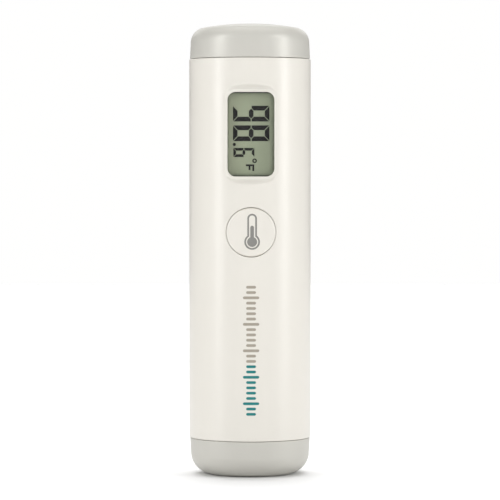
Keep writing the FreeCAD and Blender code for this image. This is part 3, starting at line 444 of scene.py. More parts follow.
# ----------------------------------------------------------
# Rear shell: half of the barrel, moulded in warm white plastic with a fine satin skin. It has two
# deep bores for the housing screws, and grooves inside for the cradle's and the probe's flanges.
# ----------------------------------------------------------
finish("barrel_plastic", (0.83, 0.80, 0.735), (0.80, 0.77, 0.70), amount=0.25, drift_scale=45.0,
       grain=4200.0, depth=0.10, roughness=(0.29, 0.34), coat=0.3, coat_roughness=0.24)
RIM = 0.18                   # rounding of the shells' free edges
SEAM_V = 0.311               # depth and half width of the groove along the side seams
SEAM_T = math.pi / 2 - SEAM_V / BARREL_R
SEAM_ANGLE = math.degrees(SEAM_T)
GROOVE_R = 15.75             # grooves that hold the cradle's and the probe's flanges
GROOVES = ((14.55, 16.15), (109.85, 111.35))
SCREW_AT = (9.4, 58.0)       # x and z of a housing screw
SCREW_ANGLES = (14.0, 58.0)  # a screw's patch lies between these angles and heights
SCREW_ROWS = (50.6, 65.4)
SCREW_BORE_R = 2.15          # counterbore, its rounded rim and its seat
SCREW_RIM = 0.12
SCREW_SEAT_Y = 8.6
SHANK_HOLE_R = 1.1
REAR_BOSS_R = 3.1
REAR_BOSS_TIP = -0.95


def outside(x):
    """y of the barrel's outer wall at x, as a distance from the axis plane."""
    return np.sqrt(BARREL_R ** 2 - x ** 2)


def inside(x):
    """y of the barrel's bore at x, as a distance from the axis plane."""
    return np.sqrt(np.maximum(BORE_R ** 2 - x ** 2, 0.0))


def wall_rows(start, end, free_start=False, free_end=False, grooves=()):
    """Heights from start to end of the barrel's wall, with its outer and inner radius at each. The
    outer edge is rounded at a free end, the inner edge too at the upper one, and a groove is two
    steps of the inner radius."""
    a = np.radians(np.linspace(0, 90, 6))
    rows = [(start + (end - start) * t, BARREL_R, BORE_R) for t in (0.0, 1.0)]
    rows += [(z, BARREL_R, BORE_R) for z in np.arange(start + 2, end - 1.9, 6.0)]
    for low, high in grooves:
        rows += [(low, BARREL_R, BORE_R), (low + 1e-7, BARREL_R, GROOVE_R),
                 (high - 1e-7, BARREL_R, GROOVE_R), (high, BARREL_R, BORE_R)]
    rows.sort()
    if free_start:
        rim = [(start + RIM - RIM * math.cos(t), BARREL_R - RIM + RIM * math.sin(t), BORE_R) for t in a]
        rows = rim + [(start + 2 * RIM, BARREL_R, BORE_R)] + rows[1:]
    if free_end:
        rim = [(end - RIM + RIM * math.sin(t), BARREL_R - RIM + RIM * math.cos(t),
                BORE_R + RIM - RIM * math.cos(t)) for t in a]
        rows = rows[:-1] + [(end - 2 * RIM, BARREL_R, BORE_R)] + rim
    return np.array(rows).T


def wall(theta, z, radius, side):
    """Part of a round wall: (r sin t, side r cos t, z), with one radius for each height."""
    r = np.asarray(radius)[:, None] + 0 * theta[None, :]
    return np.stack([r * np.sin(theta), side * r * np.cos(theta), z[:, None] + 0 * r], -1)


def half_barrel(side, spans, zones):
    """Outer and inner wall of half the barrel, for each zone of heights and each span of angles, with
    the seam faces and end faces that join the two. A zone names the spans that patches fill."""
    grids = []
    for (z, outer, inner), filled in zones:
        for number, theta in enumerate(spans):
            if number not in filled:
                grids += [wall(theta, z, outer, side), wall(theta, z, inner, side)]
        for end, bevelled in ((spans[0][0], -math.pi / 2), (spans[-1][-1], math.pi / 2)):
            edge = wall(np.array([end]), z, outer, side)
            root = wall(np.array([bevelled]), z, outer - SEAM_V, side)
            back = wall(np.array([bevelled]), z, inner, side)
            hidden = wall(np.array([end]), z, inner, side)
            grids += [np.concatenate([edge, root, back, hidden], 1)]
    for zone, row in ((zones[0][0], 0), (zones[-1][0], -1)):
        z, outer, inner = (values[[row]] for values in zone)
        grids += [np.concatenate([wall(t, z, outer, side), wall(t, z, inner, side)]) for t in spans]
        for end in (-1, 1):
            angles = np.array([end * SEAM_T, end * math.pi / 2])
            bevel = [wall(angles[:1], z, outer, side), wall(angles[1:], z, outer - SEAM_V, side)]
            bevel = np.concatenate(bevel, 1)
            grids += [np.concatenate([bevel, wall(angles, z, inner, side)])]
    return grids


def even_angles(*limits):
    """Spans of angles between limits in degrees, divided every two degrees or so."""
    limits = np.radians(limits)
    return [np.linspace(a, b, max(int(round(math.degrees(b - a) / 2.1)), 2) + 1)
            for a, b in zip(limits[:-1], limits[1:])]


def screw_patch(side_x, theta, z_rows):
    """Rings from the rectangle on the outer wall, over the counterbore, its seat and the screw's
    clearance hole, and up the outside of the boss to the rectangle on the bore."""
    x_limit = BARREL_R * np.sin(theta)
    centre, half = (x_limit[0] + x_limit[-1]) / 2, (x_limit[-1] - x_limit[0]) / 2
    middle, half_z = (z_rows[0] + z_rows[-1]) / 2, (z_rows[-1] - z_rows[0]) / 2
    u, v = square_border((x_limit - centre) / half, (z_rows - middle) / half_z)
    length = np.hypot(u, v)
    at_x = side_x * SCREW_AT[0]
    outer_x, z = centre + half * u, middle + half_z * v
    inner_x = outer_x * BORE_R / BARREL_R

    def circle(radius):
        return at_x + radius * u / length, SCREW_AT[1] + radius * v / length

    rings = []
    for t in np.linspace(0, 1, 7)[:-1]:
        x_round, z_round = circle(2.4)
        x, up = outer_x + t * (x_round - outer_x), z + t * (z_round - z)
        rings.append((x, outside(x), up))
    for a in np.radians(np.linspace(0, 90, 5)):
        x, up = circle(SCREW_BORE_R + SCREW_RIM * (1 - math.sin(a)))
        rings.append((x, outside(x) - SCREW_RIM * (1 - math.cos(a)), up))
    for radius, y in (
        (SCREW_BORE_R, SCREW_SEAT_Y + 0.1), (SCREW_BORE_R, SCREW_SEAT_Y), (SCREW_BORE_R - 0.1, SCREW_SEAT_Y),
        (SHANK_HOLE_R, SCREW_SEAT_Y), (SHANK_HOLE_R, REAR_BOSS_TIP), (REAR_BOSS_R, REAR_BOSS_TIP),
    ):
        x, up = circle(radius)
        rings.append((x, y, up))
    x_round, z_round = circle(REAR_BOSS_R)
    for t in np.linspace(0, 1, 6):
        x, up = x_round + t * (inner_x - x_round), z_round + t * (z - z_round)
        rings.append((x, inside(x), up))
    return stack_rings(rings)


def plain_rows(rows):
    """The heights of a zone that has a patch, with the plain radii of the wall."""
    return np.array([rows, BARREL_R + 0 * rows, BORE_R + 0 * rows])


low, high = SCREW_ANGLES
rear_spans = even_angles(-SEAM_ANGLE, -high, -low, low, high, SEAM_ANGLE)
screw_rows = np.linspace(*SCREW_ROWS, 21)
rear_zones = [
    (wall_rows(BASE_SEAM, SCREW_ROWS[0], free_start=True, grooves=GROOVES[:1]), ()),
    (plain_rows(screw_rows), (1, 3)),
    (wall_rows(SCREW_ROWS[1], CAP_SEAM, free_end=True, grooves=GROOVES[1:]), ()),
]
rear = half_barrel(1, rear_spans, rear_zones)
rear += [screw_patch(-1, rear_spans[1], screw_rows), screw_patch(1, rear_spans[3], screw_rows)]
add_piece("rear_shell_moulding", rear, "barrel", "barrel_plastic", ["rear_shell"])

# ----------------------------------------------------------
# Housing screws: two plated pan-head screws at the bottom of the rear shell's bores. They draw
# the rear shell onto the bosses of the front shell.
# ----------------------------------------------------------
finish("screw_steel", (0.50, 0.50, 0.51), (0.36, 0.36, 0.37), drift_scale=400.0, metallic=1.0, grain=6000.0,
       depth=0.2, roughness=(0.28, 0.40))
paint("screw_steel", "housing_screws", "board_screws")

# ----------------------------------------------------------
# Circuit board and its parts: green laminate with black packages, ceramic chips, a cream socket
# and an amber flexible lead, all soldered on the back. Four small screws hold it to the front shell.
# ----------------------------------------------------------
finish("board_green", (0.020, 0.115, 0.045), (0.03, 0.16, 0.06), drift_scale=700.0, amount=0.5,
       roughness=(0.28, 0.40), coat=0.3)
finish("chip_black", (0.018, 0.018, 0.02), (0.03, 0.03, 0.032), grain=6000.0, depth=0.3,
       roughness=(0.45, 0.6))
finish("chip_ceramic", (0.42, 0.33, 0.22), (0.5, 0.42, 0.32), drift_scale=600.0, amount=0.6,
       roughness=(0.35, 0.5))
finish("connector_cream", (0.70, 0.64, 0.48), grain=2500.0, depth=0.2, roughness=(0.4, 0.5))
finish("flex_amber", (0.55, 0.22, 0.03), (0.42, 0.15, 0.02), drift_scale=500.0, amount=0.6,
       roughness=(0.28, 0.34))
finish("steel", (0.56, 0.57, 0.58), (0.46, 0.46, 0.47), drift_scale=300.0, metallic=1.0,
       grain=5000.0, depth=0.12, roughness=(0.28, 0.36))
finish("inner_plastic_black", (0.02, 0.02, 0.021), (0.035, 0.035, 0.036), grain=2500.0, depth=0.3,
       roughness=(0.4, 0.55))
finish("contact_rubber", (0.05, 0.05, 0.052), (0.16, 0.10, 0.09), drift_scale=900.0, amount=0.8,
       roughness=(0.6, 0.75))
paint("board_green", "circuit_board")
paint("chip_black", "main_chip", "memory_chip")
paint("chip_ceramic", "chip_components")
paint("connector_cream", "flex_connector")
paint("flex_amber", "sensor_flex")
paint("steel", "crystal", "switch_cover")
paint("contact_rubber", "contact_strip_upper", "contact_strip_lower")
paint("inner_plastic_black", "buzzer", "switch_base", "switch_plunger", "lcd_holder")

# ----------------------------------------------------------
# Liquid crystal panel: two thin glasses with a polariser in front and a reflector behind. The
# figures are etched electrodes that turn dark under the polariser's grey-green film.
# ----------------------------------------------------------
finish("lcd_film", (0.385, 0.430, 0.300), (0.350, 0.395, 0.272), drift_scale=70.0, amount=0.5, grain=7000.0,
       depth=0.05, roughness=(0.30, 0.38))
finish("lcd_glass", (0.30, 0.34, 0.32), roughness=(0.04, 0.1), drift_scale=200.0)
finish("lcd_ground", (0.50, 0.52, 0.48), grain=6000.0, depth=0.2, roughness=(0.35, 0.5), metallic=0.6)
finish("lcd_ink", (0.004, 0.0035, 0.0035), (0.008, 0.007, 0.007), drift_scale=300.0, roughness=(0.7, 0.8))
paint("lcd_glass", "lcd_front_glass", "lcd_back_glass")
paint("lcd_ground", "lcd_reflector")

OPENING = (6.45, 11.6, 2.2)  # half width, half height and corner of the window's opening
DISPLAY_LOW, DISPLAY_HIGH = node_box("lcd_polariser")
DISPLAY_Z = (DISPLAY_LOW[2] + DISPLAY_HIGH[2]) / 2
FILM_Y = DISPLAY_LOW[1]


def paint_display_light_and_shade(material, half_w, half_h):
    """Paints light and shade on the film: a lighter, warmer painted pool of light on its upper left part, and
    painted shade that darkens it towards its edges, most on its right, where the recess shades it. Each tone
    is laid on by distance across or up, in Object coordinates."""
    tree = material.node_tree
    base = tree.nodes["Principled BSDF"].inputs["Base Color"]
    where = add_node(tree, "ShaderNodeTexCoord", {}).outputs["Object"]
    split = add_node(tree, "ShaderNodeSeparateXYZ", {"Vector": where}).outputs
    low, high = DISPLAY_Z - half_h, DISPLAY_Z + half_h
    painted_light_tone, shadow = (0.47, 0.49, 0.345, 1), (0.14, 0.16, 0.115, 1)
    colour = base.links[0].from_socket
    # Painted light: the lighter warm tone on the left. Painted shade: the dark tone at the right, left, top
    # and bottom edges.
    for tone, strength, axis, start, end in (
        (painted_light_tone, 0.35, "X", 1.0, -half_w), (shadow, 0.55, "X", half_w - 1.6, half_w),
        (shadow, 0.35, "X", 0.7 - half_w, -half_w), (shadow, 0.6, "Z", high - 0.9, high),
        (shadow, 0.6, "Z", low + 1.1, low),
    ):
        factor = eased(tree, split[axis], start * MM, end * MM, high=strength)
        colour = blend(tree, factor, colour, tone)
    tree.links.new(colour, base)


# The display film gets painted light on its left and painted shade towards its edges.
paint_display_light_and_shade(FINISHES["lcd_film"], *OPENING[:2])
paint("lcd_film", "lcd_polariser")


def slab(contour, core, place, front, back):
    """Thin closed plate: from its core line out to its contour on the front, over the edge, and back
    to the core behind. place puts (across, up) points on a surface at a depth."""
    closed = np.concatenate([contour, contour[:1]])
    middle = np.concatenate([core, core[:1]])
    return np.stack([place(middle, front), place(closed, front), place(closed, back), place(middle, back)])


def on_plane(points, y):
    """(x, z) points in the plane y."""
    return np.stack([points[:, 0], np.full(len(points), y), points[:, 1]], -1)


def seven_segment(lit, width, height, bar_v, bar_h, gap):
    """Polygons (right, up) of a figure's lit bars: a top, b and c right, d bottom, e and f left, g
    middle, with mitred ends a gap apart."""
    w, h, m, s, t = width, height, height / 2, bar_v, bar_h
    upper_right = [(w, h - gap), (w - s, h - t - gap), (w - s, m + t / 2 + gap), (w - s / 2, m + gap),
                   (w, m + gap)]
    top = [(gap, h), (w - gap, h), (w - s - gap, h - t), (s + gap, h - t)]
    shapes = {
        "a": top,
        "b": upper_right,
        "c": [(x, h - y) for x, y in upper_right],
        "d": [(x, h - y) for x, y in top],
        "e": [(w - x, h - y) for x, y in upper_right],
        "f": [(w - x, y) for x, y in upper_right],
        "g": [(s / 2 + gap, m), (s + gap, m + t / 2), (w - s - gap, m + t / 2), (w - s / 2 - gap, m),
              (w - s - gap, m - t / 2), (s + gap, m - t / 2)],
    }
    return [np.array(shapes[name]) for name in lit]


def lying_down(polygon, foot_x, top_z):
    """The figures read downwards: right is down the barrel, and up is towards +X."""
    return np.stack([foot_x + polygon[:, 1], top_z - polygon[:, 0]], -1)


def ring_points(centre, radius, steps=32):
    """Contour of a circle."""
    return arc(centre, radius, 0.0, 360.0, steps)[:-1]


def flat_ring(outer, inner, depths):
    """Closed flat ring between two contours that have as many points, from one depth to another."""
    rims = [np.concatenate([points, points[:1]]) for points in (outer, inner)]
    corners = ((0, 0), (1, 0), (1, 1), (0, 1), (0, 0))
    return np.stack([on_plane(rims[i], depths[j]) for i, j in corners])


figures = []
for lit, foot_x, top_z, size in (
    ("abcdfg", -4.93, 102.80, (4.31, 10.04, 1.30, 1.26, 0.13)),
    ("abcdefg", -4.93, 97.39, (4.33, 10.04, 1.30, 1.26, 0.13)),
    ("acdefg", -4.82, 91.18, (2.48, 5.79, 0.74, 0.72, 0.08)),
):
    figures += [lying_down(bar, foot_x, top_z) for bar in seven_segment(lit, *size)]
figures.append(ring_points((-4.57, 92.15), 0.44, 24))
for a, b, c, d in ((0.0, 0.0, 0.50, 2.29), (0.50, 1.79, 1.85, 2.29), (0.50, 0.76, 1.55, 1.26)):
    figures.append(lying_down(np.array([(a, b), (c, b), (c, d), (a, d)]), -1.37, 86.66))
INK_Y = (FILM_Y - 0.03, FILM_Y + 0.005)
ink = [slab(shape, np.repeat(shape.mean(axis=0)[None], len(shape), 0), on_plane, *INK_Y)
       for shape in figures]
ink.append(flat_ring(*[ring_points((1.03, 87.65), radius) for radius in (0.63, 0.27)], INK_Y))
figures_piece = add_piece("lcd_figures", ink, "barrel", "lcd_ink", crisp=20.0)

# ----------------------------------------------------------
# Window and gasket: a clear moulded pane seated behind the front shell, and the thin black foam
# frame between it and the panel that keeps dust out.
# ----------------------------------------------------------
finish("window_clear", (0.05, 0.055, 0.05), roughness=(0.03, 0.05), alpha=0.06, grain=200.0, depth=0.02)
finish("foam_black", (0.012, 0.012, 0.012), (0.03, 0.03, 0.03), grain=3500.0, depth=0.8, roughness=(0.8, 0.95))
paint("foam_black", "window_gasket")
low, high = node_box("display_window")
PANE_HALF = ((high[0] - low[0]) / 2, (high[2] - low[2]) / 2)
u, v = square_border(np.linspace(-1, 1, 13), np.linspace(-1, 1, 21))
pane = []
for shrink, y in (
    (None, low[1]), (0.6, low[1]), (0.15, low[1]), (0.045, low[1] + 0.045), (0.0, low[1] + 0.15),
    (0.0, low[1] + 0.3), (0.0, high[1] - 0.1), (0.0, high[1]), (0.1, high[1]), (None, high[1]),
):
    if shrink is None:
        pane.append((0 * u, y, DISPLAY_Z + 0.8 * PANE_HALF[1] * v))
        continue
    x, z = rounded_rect(u, v, PANE_HALF[0] - shrink, PANE_HALF[1] - shrink, 1.4 - shrink)
    pane.append((x, y, DISPLAY_Z + z))
add_piece("display_window_pane", [stack_rings(pane)], "barrel", "window_clear", ["display_window"])

# ----------------------------------------------------------
# Front shell: the other half of the barrel, in the same white plastic. Its window lies in a flat
# whose ends slope up to the barrel, and a round hole takes the scan button.
# ----------------------------------------------------------
FRONT_ANGLE = 41.0
BUTTON_Z = 68.0
BUTTON_HOLE_R = 6.91
STOP_R, STOP_Y = 8.8, 12.9
FLAT_Y = 15.35
FLAT_HALF = (7.5, 12.4, 3.0)         # half width, half height and corner, as of the opening
FLARE = 0.83
PATCH_HALF_H = 12.2                  # half height of the button's patch
PANE_SEAT, PANE_SEAT_Y = (7.25, 12.65, 1.5), 14.75
PANEL_SEAT, PANEL_SEAT_Y = (8.15, 13.65, 0.3), 13.7
PANEL_FRAME, PANEL_FRAME_Y = (9.4, 14.45, 1.0), 12.4


def smooth_least(a, b, width):
    """The lesser of a and b, rounded over where they cross: (a + b - sqrt((a - b)^2 + w^2)) / 2."""
    return (a + b - np.sqrt((a - b) ** 2 + width ** 2)) / 2


def recessed(x, z, half_w, half_h):
    """Front of the barrel over the display, as a distance from the axis plane: the round wall, cut by
    a flat whose surface rises beyond its rounded outline by the distance over the flare."""
    over_x = np.abs(x) - (FLAT_HALF[0] - FLAT_HALF[2])
    over_z = np.abs(z) - (FLAT_HALF[1] - FLAT_HALF[2])
    beyond = np.hypot(np.maximum(over_x, 0), np.maximum(over_z, 0)) + np.minimum(np.maximum(over_x, over_z), 0)
    beyond -= FLAT_HALF[2]
    foot = 0.3
    rise = (beyond + np.sqrt(beyond ** 2 + foot ** 2)) / 2 - foot ** 2 / (4 * np.abs(beyond).clip(1.2))
    to_edge = np.minimum(half_w - np.abs(x), half_h - np.abs(z))
    width = 0.2 * np.clip(to_edge / 0.8, 0, 1)
    return smooth_least(outside(x), FLAT_Y + np.maximum(rise, 0) / FLARE, width)


def patch_border(theta, z_rows, middle):
    """Half width and half height of a patch on the outer wall, and its border as a square."""
    x_limit = BARREL_R * np.sin(theta)
    half_w, half_h = x_limit[-1], (z_rows[-1] - z_rows[0]) / 2
    return half_w, half_h, *square_border(x_limit / half_w, (z_rows - middle) / half_h)


def display_patch(theta, z_rows):
    """Rings from the rectangle on the outer wall, over the recess, the window's soft rim, the seats
    of pane and panel and the frame around them, to the rectangle on the bore."""
    half_w, half_h, u, v = patch_border(theta, z_rows, DISPLAY_Z)
    rings = []
    for t in np.concatenate([[1.0, 0.95], np.linspace(0.9, 0.075, 30)]):
        corner = OPENING[2] + 1.6 * min(t / 0.5, 1.0)
        if t > 0.8:
            corner *= (1.0 - t) / 0.2 + 0.001
        x, z = rounded_rect(u, v, OPENING[0] + t * (half_w - OPENING[0]),
                            OPENING[1] + t * (half_h - OPENING[1]), corner)
        rings.append((x, -recessed(x, z, half_w, half_h), z))
    for a in np.radians(np.linspace(0, 90, 7)):
        out = 0.25 * (1 - math.sin(a))
        x, z = rounded_rect(u, v, OPENING[0] + out, OPENING[1] + out, OPENING[2] + out)
        rings.append((x, -recessed(x, z, half_w, half_h) + 0.25 * (1 - math.cos(a)), z))
    for size, y in ((OPENING, PANE_SEAT_Y), (PANE_SEAT, PANE_SEAT_Y), (PANE_SEAT, PANEL_SEAT_Y),
                    (PANEL_SEAT, PANEL_SEAT_Y), (PANEL_SEAT, PANEL_FRAME_Y)):
        x, z = rounded_rect(u, v, *size)
        rings.append((x, -y, z))
    x, z = rounded_rect(u, v, *PANEL_FRAME)
    rings.append((x, -np.minimum(inside(x), PANEL_FRAME_Y), z))
    rings.append((x, -inside(x), z))
    x = u * half_w * BORE_R / BARREL_R
    rings.append((x, -inside(x), v * half_h))
    grid = stack_rings(rings)
    grid[..., 2] += DISPLAY_Z
    return grid


def button_patch(theta, z_rows):
    """Rings from the rectangle on the outer wall to the hole's soft rim, through the hole, out over
    the stop for the button's flange, and to the rectangle on the bore."""
    half_w, half_h, u, v = patch_border(theta, z_rows, BUTTON_Z)
    length = np.hypot(u, v)
    rim = 0.08
    rings = []
    for t in np.linspace(0, 1, 15)[:-1]:
        reach = BUTTON_HOLE_R + rim
        x = u * half_w + t * (reach * u / length - u * half_w)
        z = v * half_h + t * (reach * v / length - v * half_h)
        rings.append((x, -outside(x), z))
    for a in np.radians(np.linspace(0, 90, 6)):
        reach = BUTTON_HOLE_R + rim * (1 - math.sin(a))
        x, z = reach * u / length, reach * v / length
        rings.append((x, -outside(x) + rim * (1 - math.cos(a)), z))
    x, z = BUTTON_HOLE_R * u / length, BUTTON_HOLE_R * v / length
    rings.append((x, -STOP_Y, z))
    x, z = STOP_R * u / length, STOP_R * v / length
    rings.append((x, -STOP_Y, z))
    rings.append((x, -np.minimum(inside(x), STOP_Y), z))
    for t in np.linspace(0, 1, 5):
        across = x + t * (u * half_w * BORE_R / BARREL_R - x)
        rings.append((across, -inside(across), z + t * (v * half_h - z)))
    grid = stack_rings(rings)
    grid[..., 2] += BUTTON_Z
    return grid


def boss(at, radius, hole, tip, depth):
    """Screw boss on the inside of the front wall, with a blind pilot hole from its tip. Its root
    follows the middle of the wall."""
    outline = outline_of((0.0, tip - depth), (hole, tip - depth), (hole, tip), (radius, tip),
                         (radius, -BORE_R), (0.0, -BORE_R))
    grid = turned_y(outline, at, 40)
    grid[..., 1] = np.maximum(grid[..., 1], -inside(grid[..., 0]) - 0.9)
    return grid


front_spans = even_angles(-SEAM_ANGLE, -FRONT_ANGLE, FRONT_ANGLE, SEAM_ANGLE)
BUTTON_ROWS = np.linspace(BUTTON_Z - PATCH_HALF_H, BUTTON_Z + PATCH_HALF_H, 37)
DISPLAY_ROWS = np.linspace(BUTTON_Z + PATCH_HALF_H, 2 * DISPLAY_Z - BUTTON_Z - PATCH_HALF_H, 49)
front_zones = [
    (wall_rows(BASE_SEAM, BUTTON_ROWS[0], free_start=True, grooves=GROOVES[:1]), ()),
    (plain_rows(BUTTON_ROWS), (1,)),
    (plain_rows(DISPLAY_ROWS), (1,)),
    (wall_rows(DISPLAY_ROWS[-1], CAP_SEAM, free_end=True, grooves=GROOVES[1:]), ()),
]
front = half_barrel(-1, front_spans, front_zones)
front += [button_patch(front_spans[1], BUTTON_ROWS), display_patch(front_spans[1], DISPLAY_ROWS)]
BOARD_SCREW_X, BOARD_SCREW_Z = 9.3, (62.6, 77.3)
HOOK_Z = (28.0, 46.0, 86.0, 102.0)
for side in (-1, 1):
    front += [boss((side * BOARD_SCREW_X, z), 1.9, 0.85, -9.6, 2.9) for z in BOARD_SCREW_Z]
    front.append(boss((side * SCREW_AT[0], SCREW_AT[1]), 2.3, 1.0, -1.0, 2.4))
    for z in HOOK_Z:
        x = sorted((side * 14.0, side * 15.0))
        front.append(block((x[0], -5.0, z - 2.5), (x[1], 2.2, z + 2.5), 0.2, 0.15))
add_piece("front_shell_moulding", front, "barrel", "barrel_plastic", ["front_shell"])

# ----------------------------------------------------------
# Printed scale: a column of rounded ticks screened on the barrel below the button, in taupe at
# the top and teal at the bottom, every fifth one long.
# ----------------------------------------------------------
finish("print_taupe", (0.395, 0.355, 0.290), (0.36, 0.32, 0.26), drift_scale=250.0, grain=4200.0, depth=0.1,
       roughness=(0.34, 0.42))
finish("print_teal", (0.006, 0.205, 0.205), (0.010, 0.24, 0.24), drift_scale=250.0, grain=4200.0, depth=0.1,
       roughness=(0.34, 0.42))
TICK_T = 0.75
TICK_TOP, TICK_LOW = 52.9, 17.9
TICKS = 25


def on_barrel(points, radius):
    """(arc length, z) points wrapped on the front of the barrel."""
    t = points[:, 0] / BARREL_R
    return np.stack([radius * np.sin(t), -radius * np.cos(t), points[:, 1]], -1)


def tick(z, length):
    """Bar with round ends, as a contour and its middle line."""
    half, r = length / 2 - TICK_T / 2, TICK_T / 2
    steps = np.linspace(-half, half, 13)
    right, left = arc((half, z), r, -90.0, 90.0, 8), arc((-half, z), r, 90.0, 270.0, 8)
    low = np.stack([steps[1:-1], np.full(11, z - r)], -1)
    high = np.stack([steps[::-1][1:-1], np.full(11, z + r)], -1)
    contour = np.concatenate([low, right, high, left])
    core = np.stack([np.clip(contour[:, 0], -half, half), np.full(len(contour), z)], -1)
    return slab(contour, core, on_barrel, BARREL_R + 0.025, BARREL_R - 0.01)


heights = np.linspace(TICK_TOP, TICK_LOW, TICKS)
ticks = [tick(z, 4.5 if i % 5 == 2 else 2.7) for i, z in enumerate(heights)]
TAUPE_TICKS = 15
for name, part, slot in (("scale_print_taupe", ticks[:TAUPE_TICKS], "print_taupe"),
                         ("scale_print_teal", ticks[TAUPE_TICKS:], "print_teal")):
    printed = add_piece(name, part, "barrel", slot)

# ----------------------------------------------------------
# Scan button: a round white cap with a flange that rests behind the front shell, and a stem that
# presses the switch. A grey thermometer sign is printed on its face.
# ----------------------------------------------------------
finish("button_plastic", (0.83, 0.80, 0.735), (0.80, 0.77, 0.70), amount=0.2, drift_scale=60.0, grain=4200.0,
       depth=0.10, roughness=(0.30, 0.36), coat=0.1)
finish("button_print", (0.262, 0.258, 0.240), (0.23, 0.225, 0.21), drift_scale=300.0, roughness=(0.34, 0.42))
low, high = node_box("scan_button")
FACE_Y, FLANGE_BACK = low[1], high[1]
BUTTON_R = 6.8
EDGE = 0.35
button = outline_of(
    (0.0, FACE_Y), (3.0, FACE_Y), (5.6, FACE_Y), arc((BUTTON_R - EDGE, FACE_Y + EDGE), EDGE, -90.0, 0.0, 8),
    (BUTTON_R, FLANGE_BACK - 0.8), (7.9, FLANGE_BACK - 0.8), (7.9, FLANGE_BACK), (5.7, FLANGE_BACK),
    (5.7, FACE_Y + 1.3), (1.6, FACE_Y + 1.3), (1.6, -13.5), (0.0, -13.5))
add_piece("scan_button_cap", [turned_y(button, (0.0, BUTTON_Z), 128)], "scan_button",
          "button_plastic", ["scan_button"])


def thermometer_sign(bulb_r, tube_half, top_z, centre=(0.3, 65.34), steps=24):
    """Contour of a bulb with a round-topped tube above it, from the right side clockwise below."""
    meet = math.degrees(math.acos(tube_half / bulb_r))
    bulb = arc((0.0, centre[1]), bulb_r, meet, -180.0 - meet, steps * 2)
    top = arc((0.0, top_z - tube_half), tube_half, 180.0, 0.0, steps)
    contour = np.concatenate([bulb, top])
    return contour + np.array([centre[0], 0.0])


SIGN_Y = (FACE_Y - 0.02, FACE_Y + 0.01)
sign = [flat_ring(thermometer_sign(2.15, 1.32, 73.09), thermometer_sign(1.68, 0.85, 72.62), SIGN_Y)]
column = thermometer_sign(1.37, 0.5, 69.8)
sign.append(slab(column, np.stack([np.full(len(column), 0.3), column[:, 1]], -1), on_plane, *SIGN_Y))
printed = add_piece("scan_button_sign", sign, "scan_button", "button_print")

# ----------------------------------------------------------
# Ear probe: a white cone on a flared floor, held by its flange between the shells. A silicon
# window closes its tip, and the sensor sits behind it in a metal sleeve.
# ----------------------------------------------------------
finish("probe_plastic", (0.74, 0.73, 0.69), (0.70, 0.69, 0.65), amount=0.25, grain=3500.0, depth=0.08,
       roughness=(0.28, 0.34), coat=0.1)
finish("silicon", (0.10, 0.095, 0.11), (0.13, 0.12, 0.14), drift_scale=400.0, metallic=0.85,
       roughness=(0.08, 0.14), depth=0.03)
finish("sleeve_metal", (0.66, 0.66, 0.67), (0.52, 0.52, 0.53), drift_scale=200.0, metallic=1.0, grain=5000.0,
       depth=0.2, roughness=(0.28, 0.40))
finish("sensor_metal", (0.60, 0.60, 0.58), metallic=1.0, roughness=(0.15, 0.27), drift_scale=300.0)
finish("gold_plate", (0.80, 0.55, 0.20), (0.62, 0.42, 0.16), metallic=1.0,
       roughness=(0.18, 0.27), drift_scale=300.0)
finish("retainer_plastic", (0.55, 0.55, 0.53), grain=3000.0, depth=0.2, roughness=(0.4, 0.5))
paint("sleeve_metal", "sensor_sleeve")
paint("sensor_metal", "sensor_can")
paint("silicon", "sensor_filter", "thermopile_chip")
paint("gold_plate", "sensor_header", "sensor_leads")
paint("retainer_plastic", "sensor_retainer")
paint("board_green", "sensor_board")


def through(start, via, end, steps=18):
    """Arc through three (r, z) points, from the centre at an equal distance from all of them."""
    start, via, end = (np.array(point, float) for point in (start, via, end))
    sides = np.array([via - start, end - start])
    squares = np.array([via @ via - start @ start, end @ end - start @ start]) / 2
    centre = np.linalg.solve(sides, squares)
    angles = [math.degrees(math.atan2(*(point - centre)[::-1])) for point in (start, via, end)]
    turn = (angles[2] - angles[0]) % 360.0
    if (angles[1] - angles[0]) % 360.0 > turn:
        turn -= 360.0
    return arc(centre, np.linalg.norm(start - centre), angles[0], angles[0] + turn, steps)


FLANGE = node_box("probe_housing")
TIP_Z = FLANGE[1][2]
FLANGE_R = FLANGE[1][0]
FLANGE_LOW = FLANGE[0][2]
housing = outline_of(
    (FLANGE_R, FLANGE_LOW), (FLANGE_R, 111.3), through((12.4, 111.3), (9.25, 111.92), (7.3, 113.6)),
    arc((3.65, TIP_Z - 0.7), 0.7, 8.0, 90.0, 10), (2.75, TIP_Z), (2.6, TIP_Z - 0.15), (2.6, TIP_Z - 0.8),
    (3.12, TIP_Z - 0.8), (3.12, 115.4), (6.4, 113.5), (6.4, FLANGE_LOW))
add_piece("probe_housing_moulding", [turned(housing)], "barrel", "probe_plastic", ["probe_housing"])
low, high = node_box("probe_window")
WINDOW_R = high[0]
window = outline_of((0.0, low[2]), (WINDOW_R, low[2]), (WINDOW_R, high[2] - 0.05), (WINDOW_R - 0.05, high[2]),
                    (1.2, high[2]), (0.0, high[2]))
add_piece("probe_window_disc", [turned(window, steps=96)], "barrel", "silicon", ["probe_window"])
low, high = node_box("probe_seal")
PROBE_SEAL_WIRE = (high[2] - low[2]) / 2
seal = seal_ring(high[0] - PROBE_SEAL_WIRE, PROBE_SEAL_WIRE, (low[2] + high[2]) / 2)
add_piece("probe_seal_ring", [seal], "barrel", "seal_rubber", ["probe_seal"])

# ----------------------------------------------------------
# Probe cap: a grey pearl shell with a low dome, bonded to an inner lining whose plug slides in the
# barrel's mouth. It pulls straight off to bare the probe.
# ----------------------------------------------------------
SHOULDER_R = 4.2
SHOULDER_AT = np.array([12.38, 120.7])
CAP_SKIN = 1.2
LINER_SKIN = 0.9
CAP_TOP = node_box("probe_cap_shell")[1][2]
CAP_FOOT = CAP_SEAM + 0.14
LINER_LOW = node_box("probe_cap_liner")[0][2]
LINER_REST = CAP_SEAM + 0.15


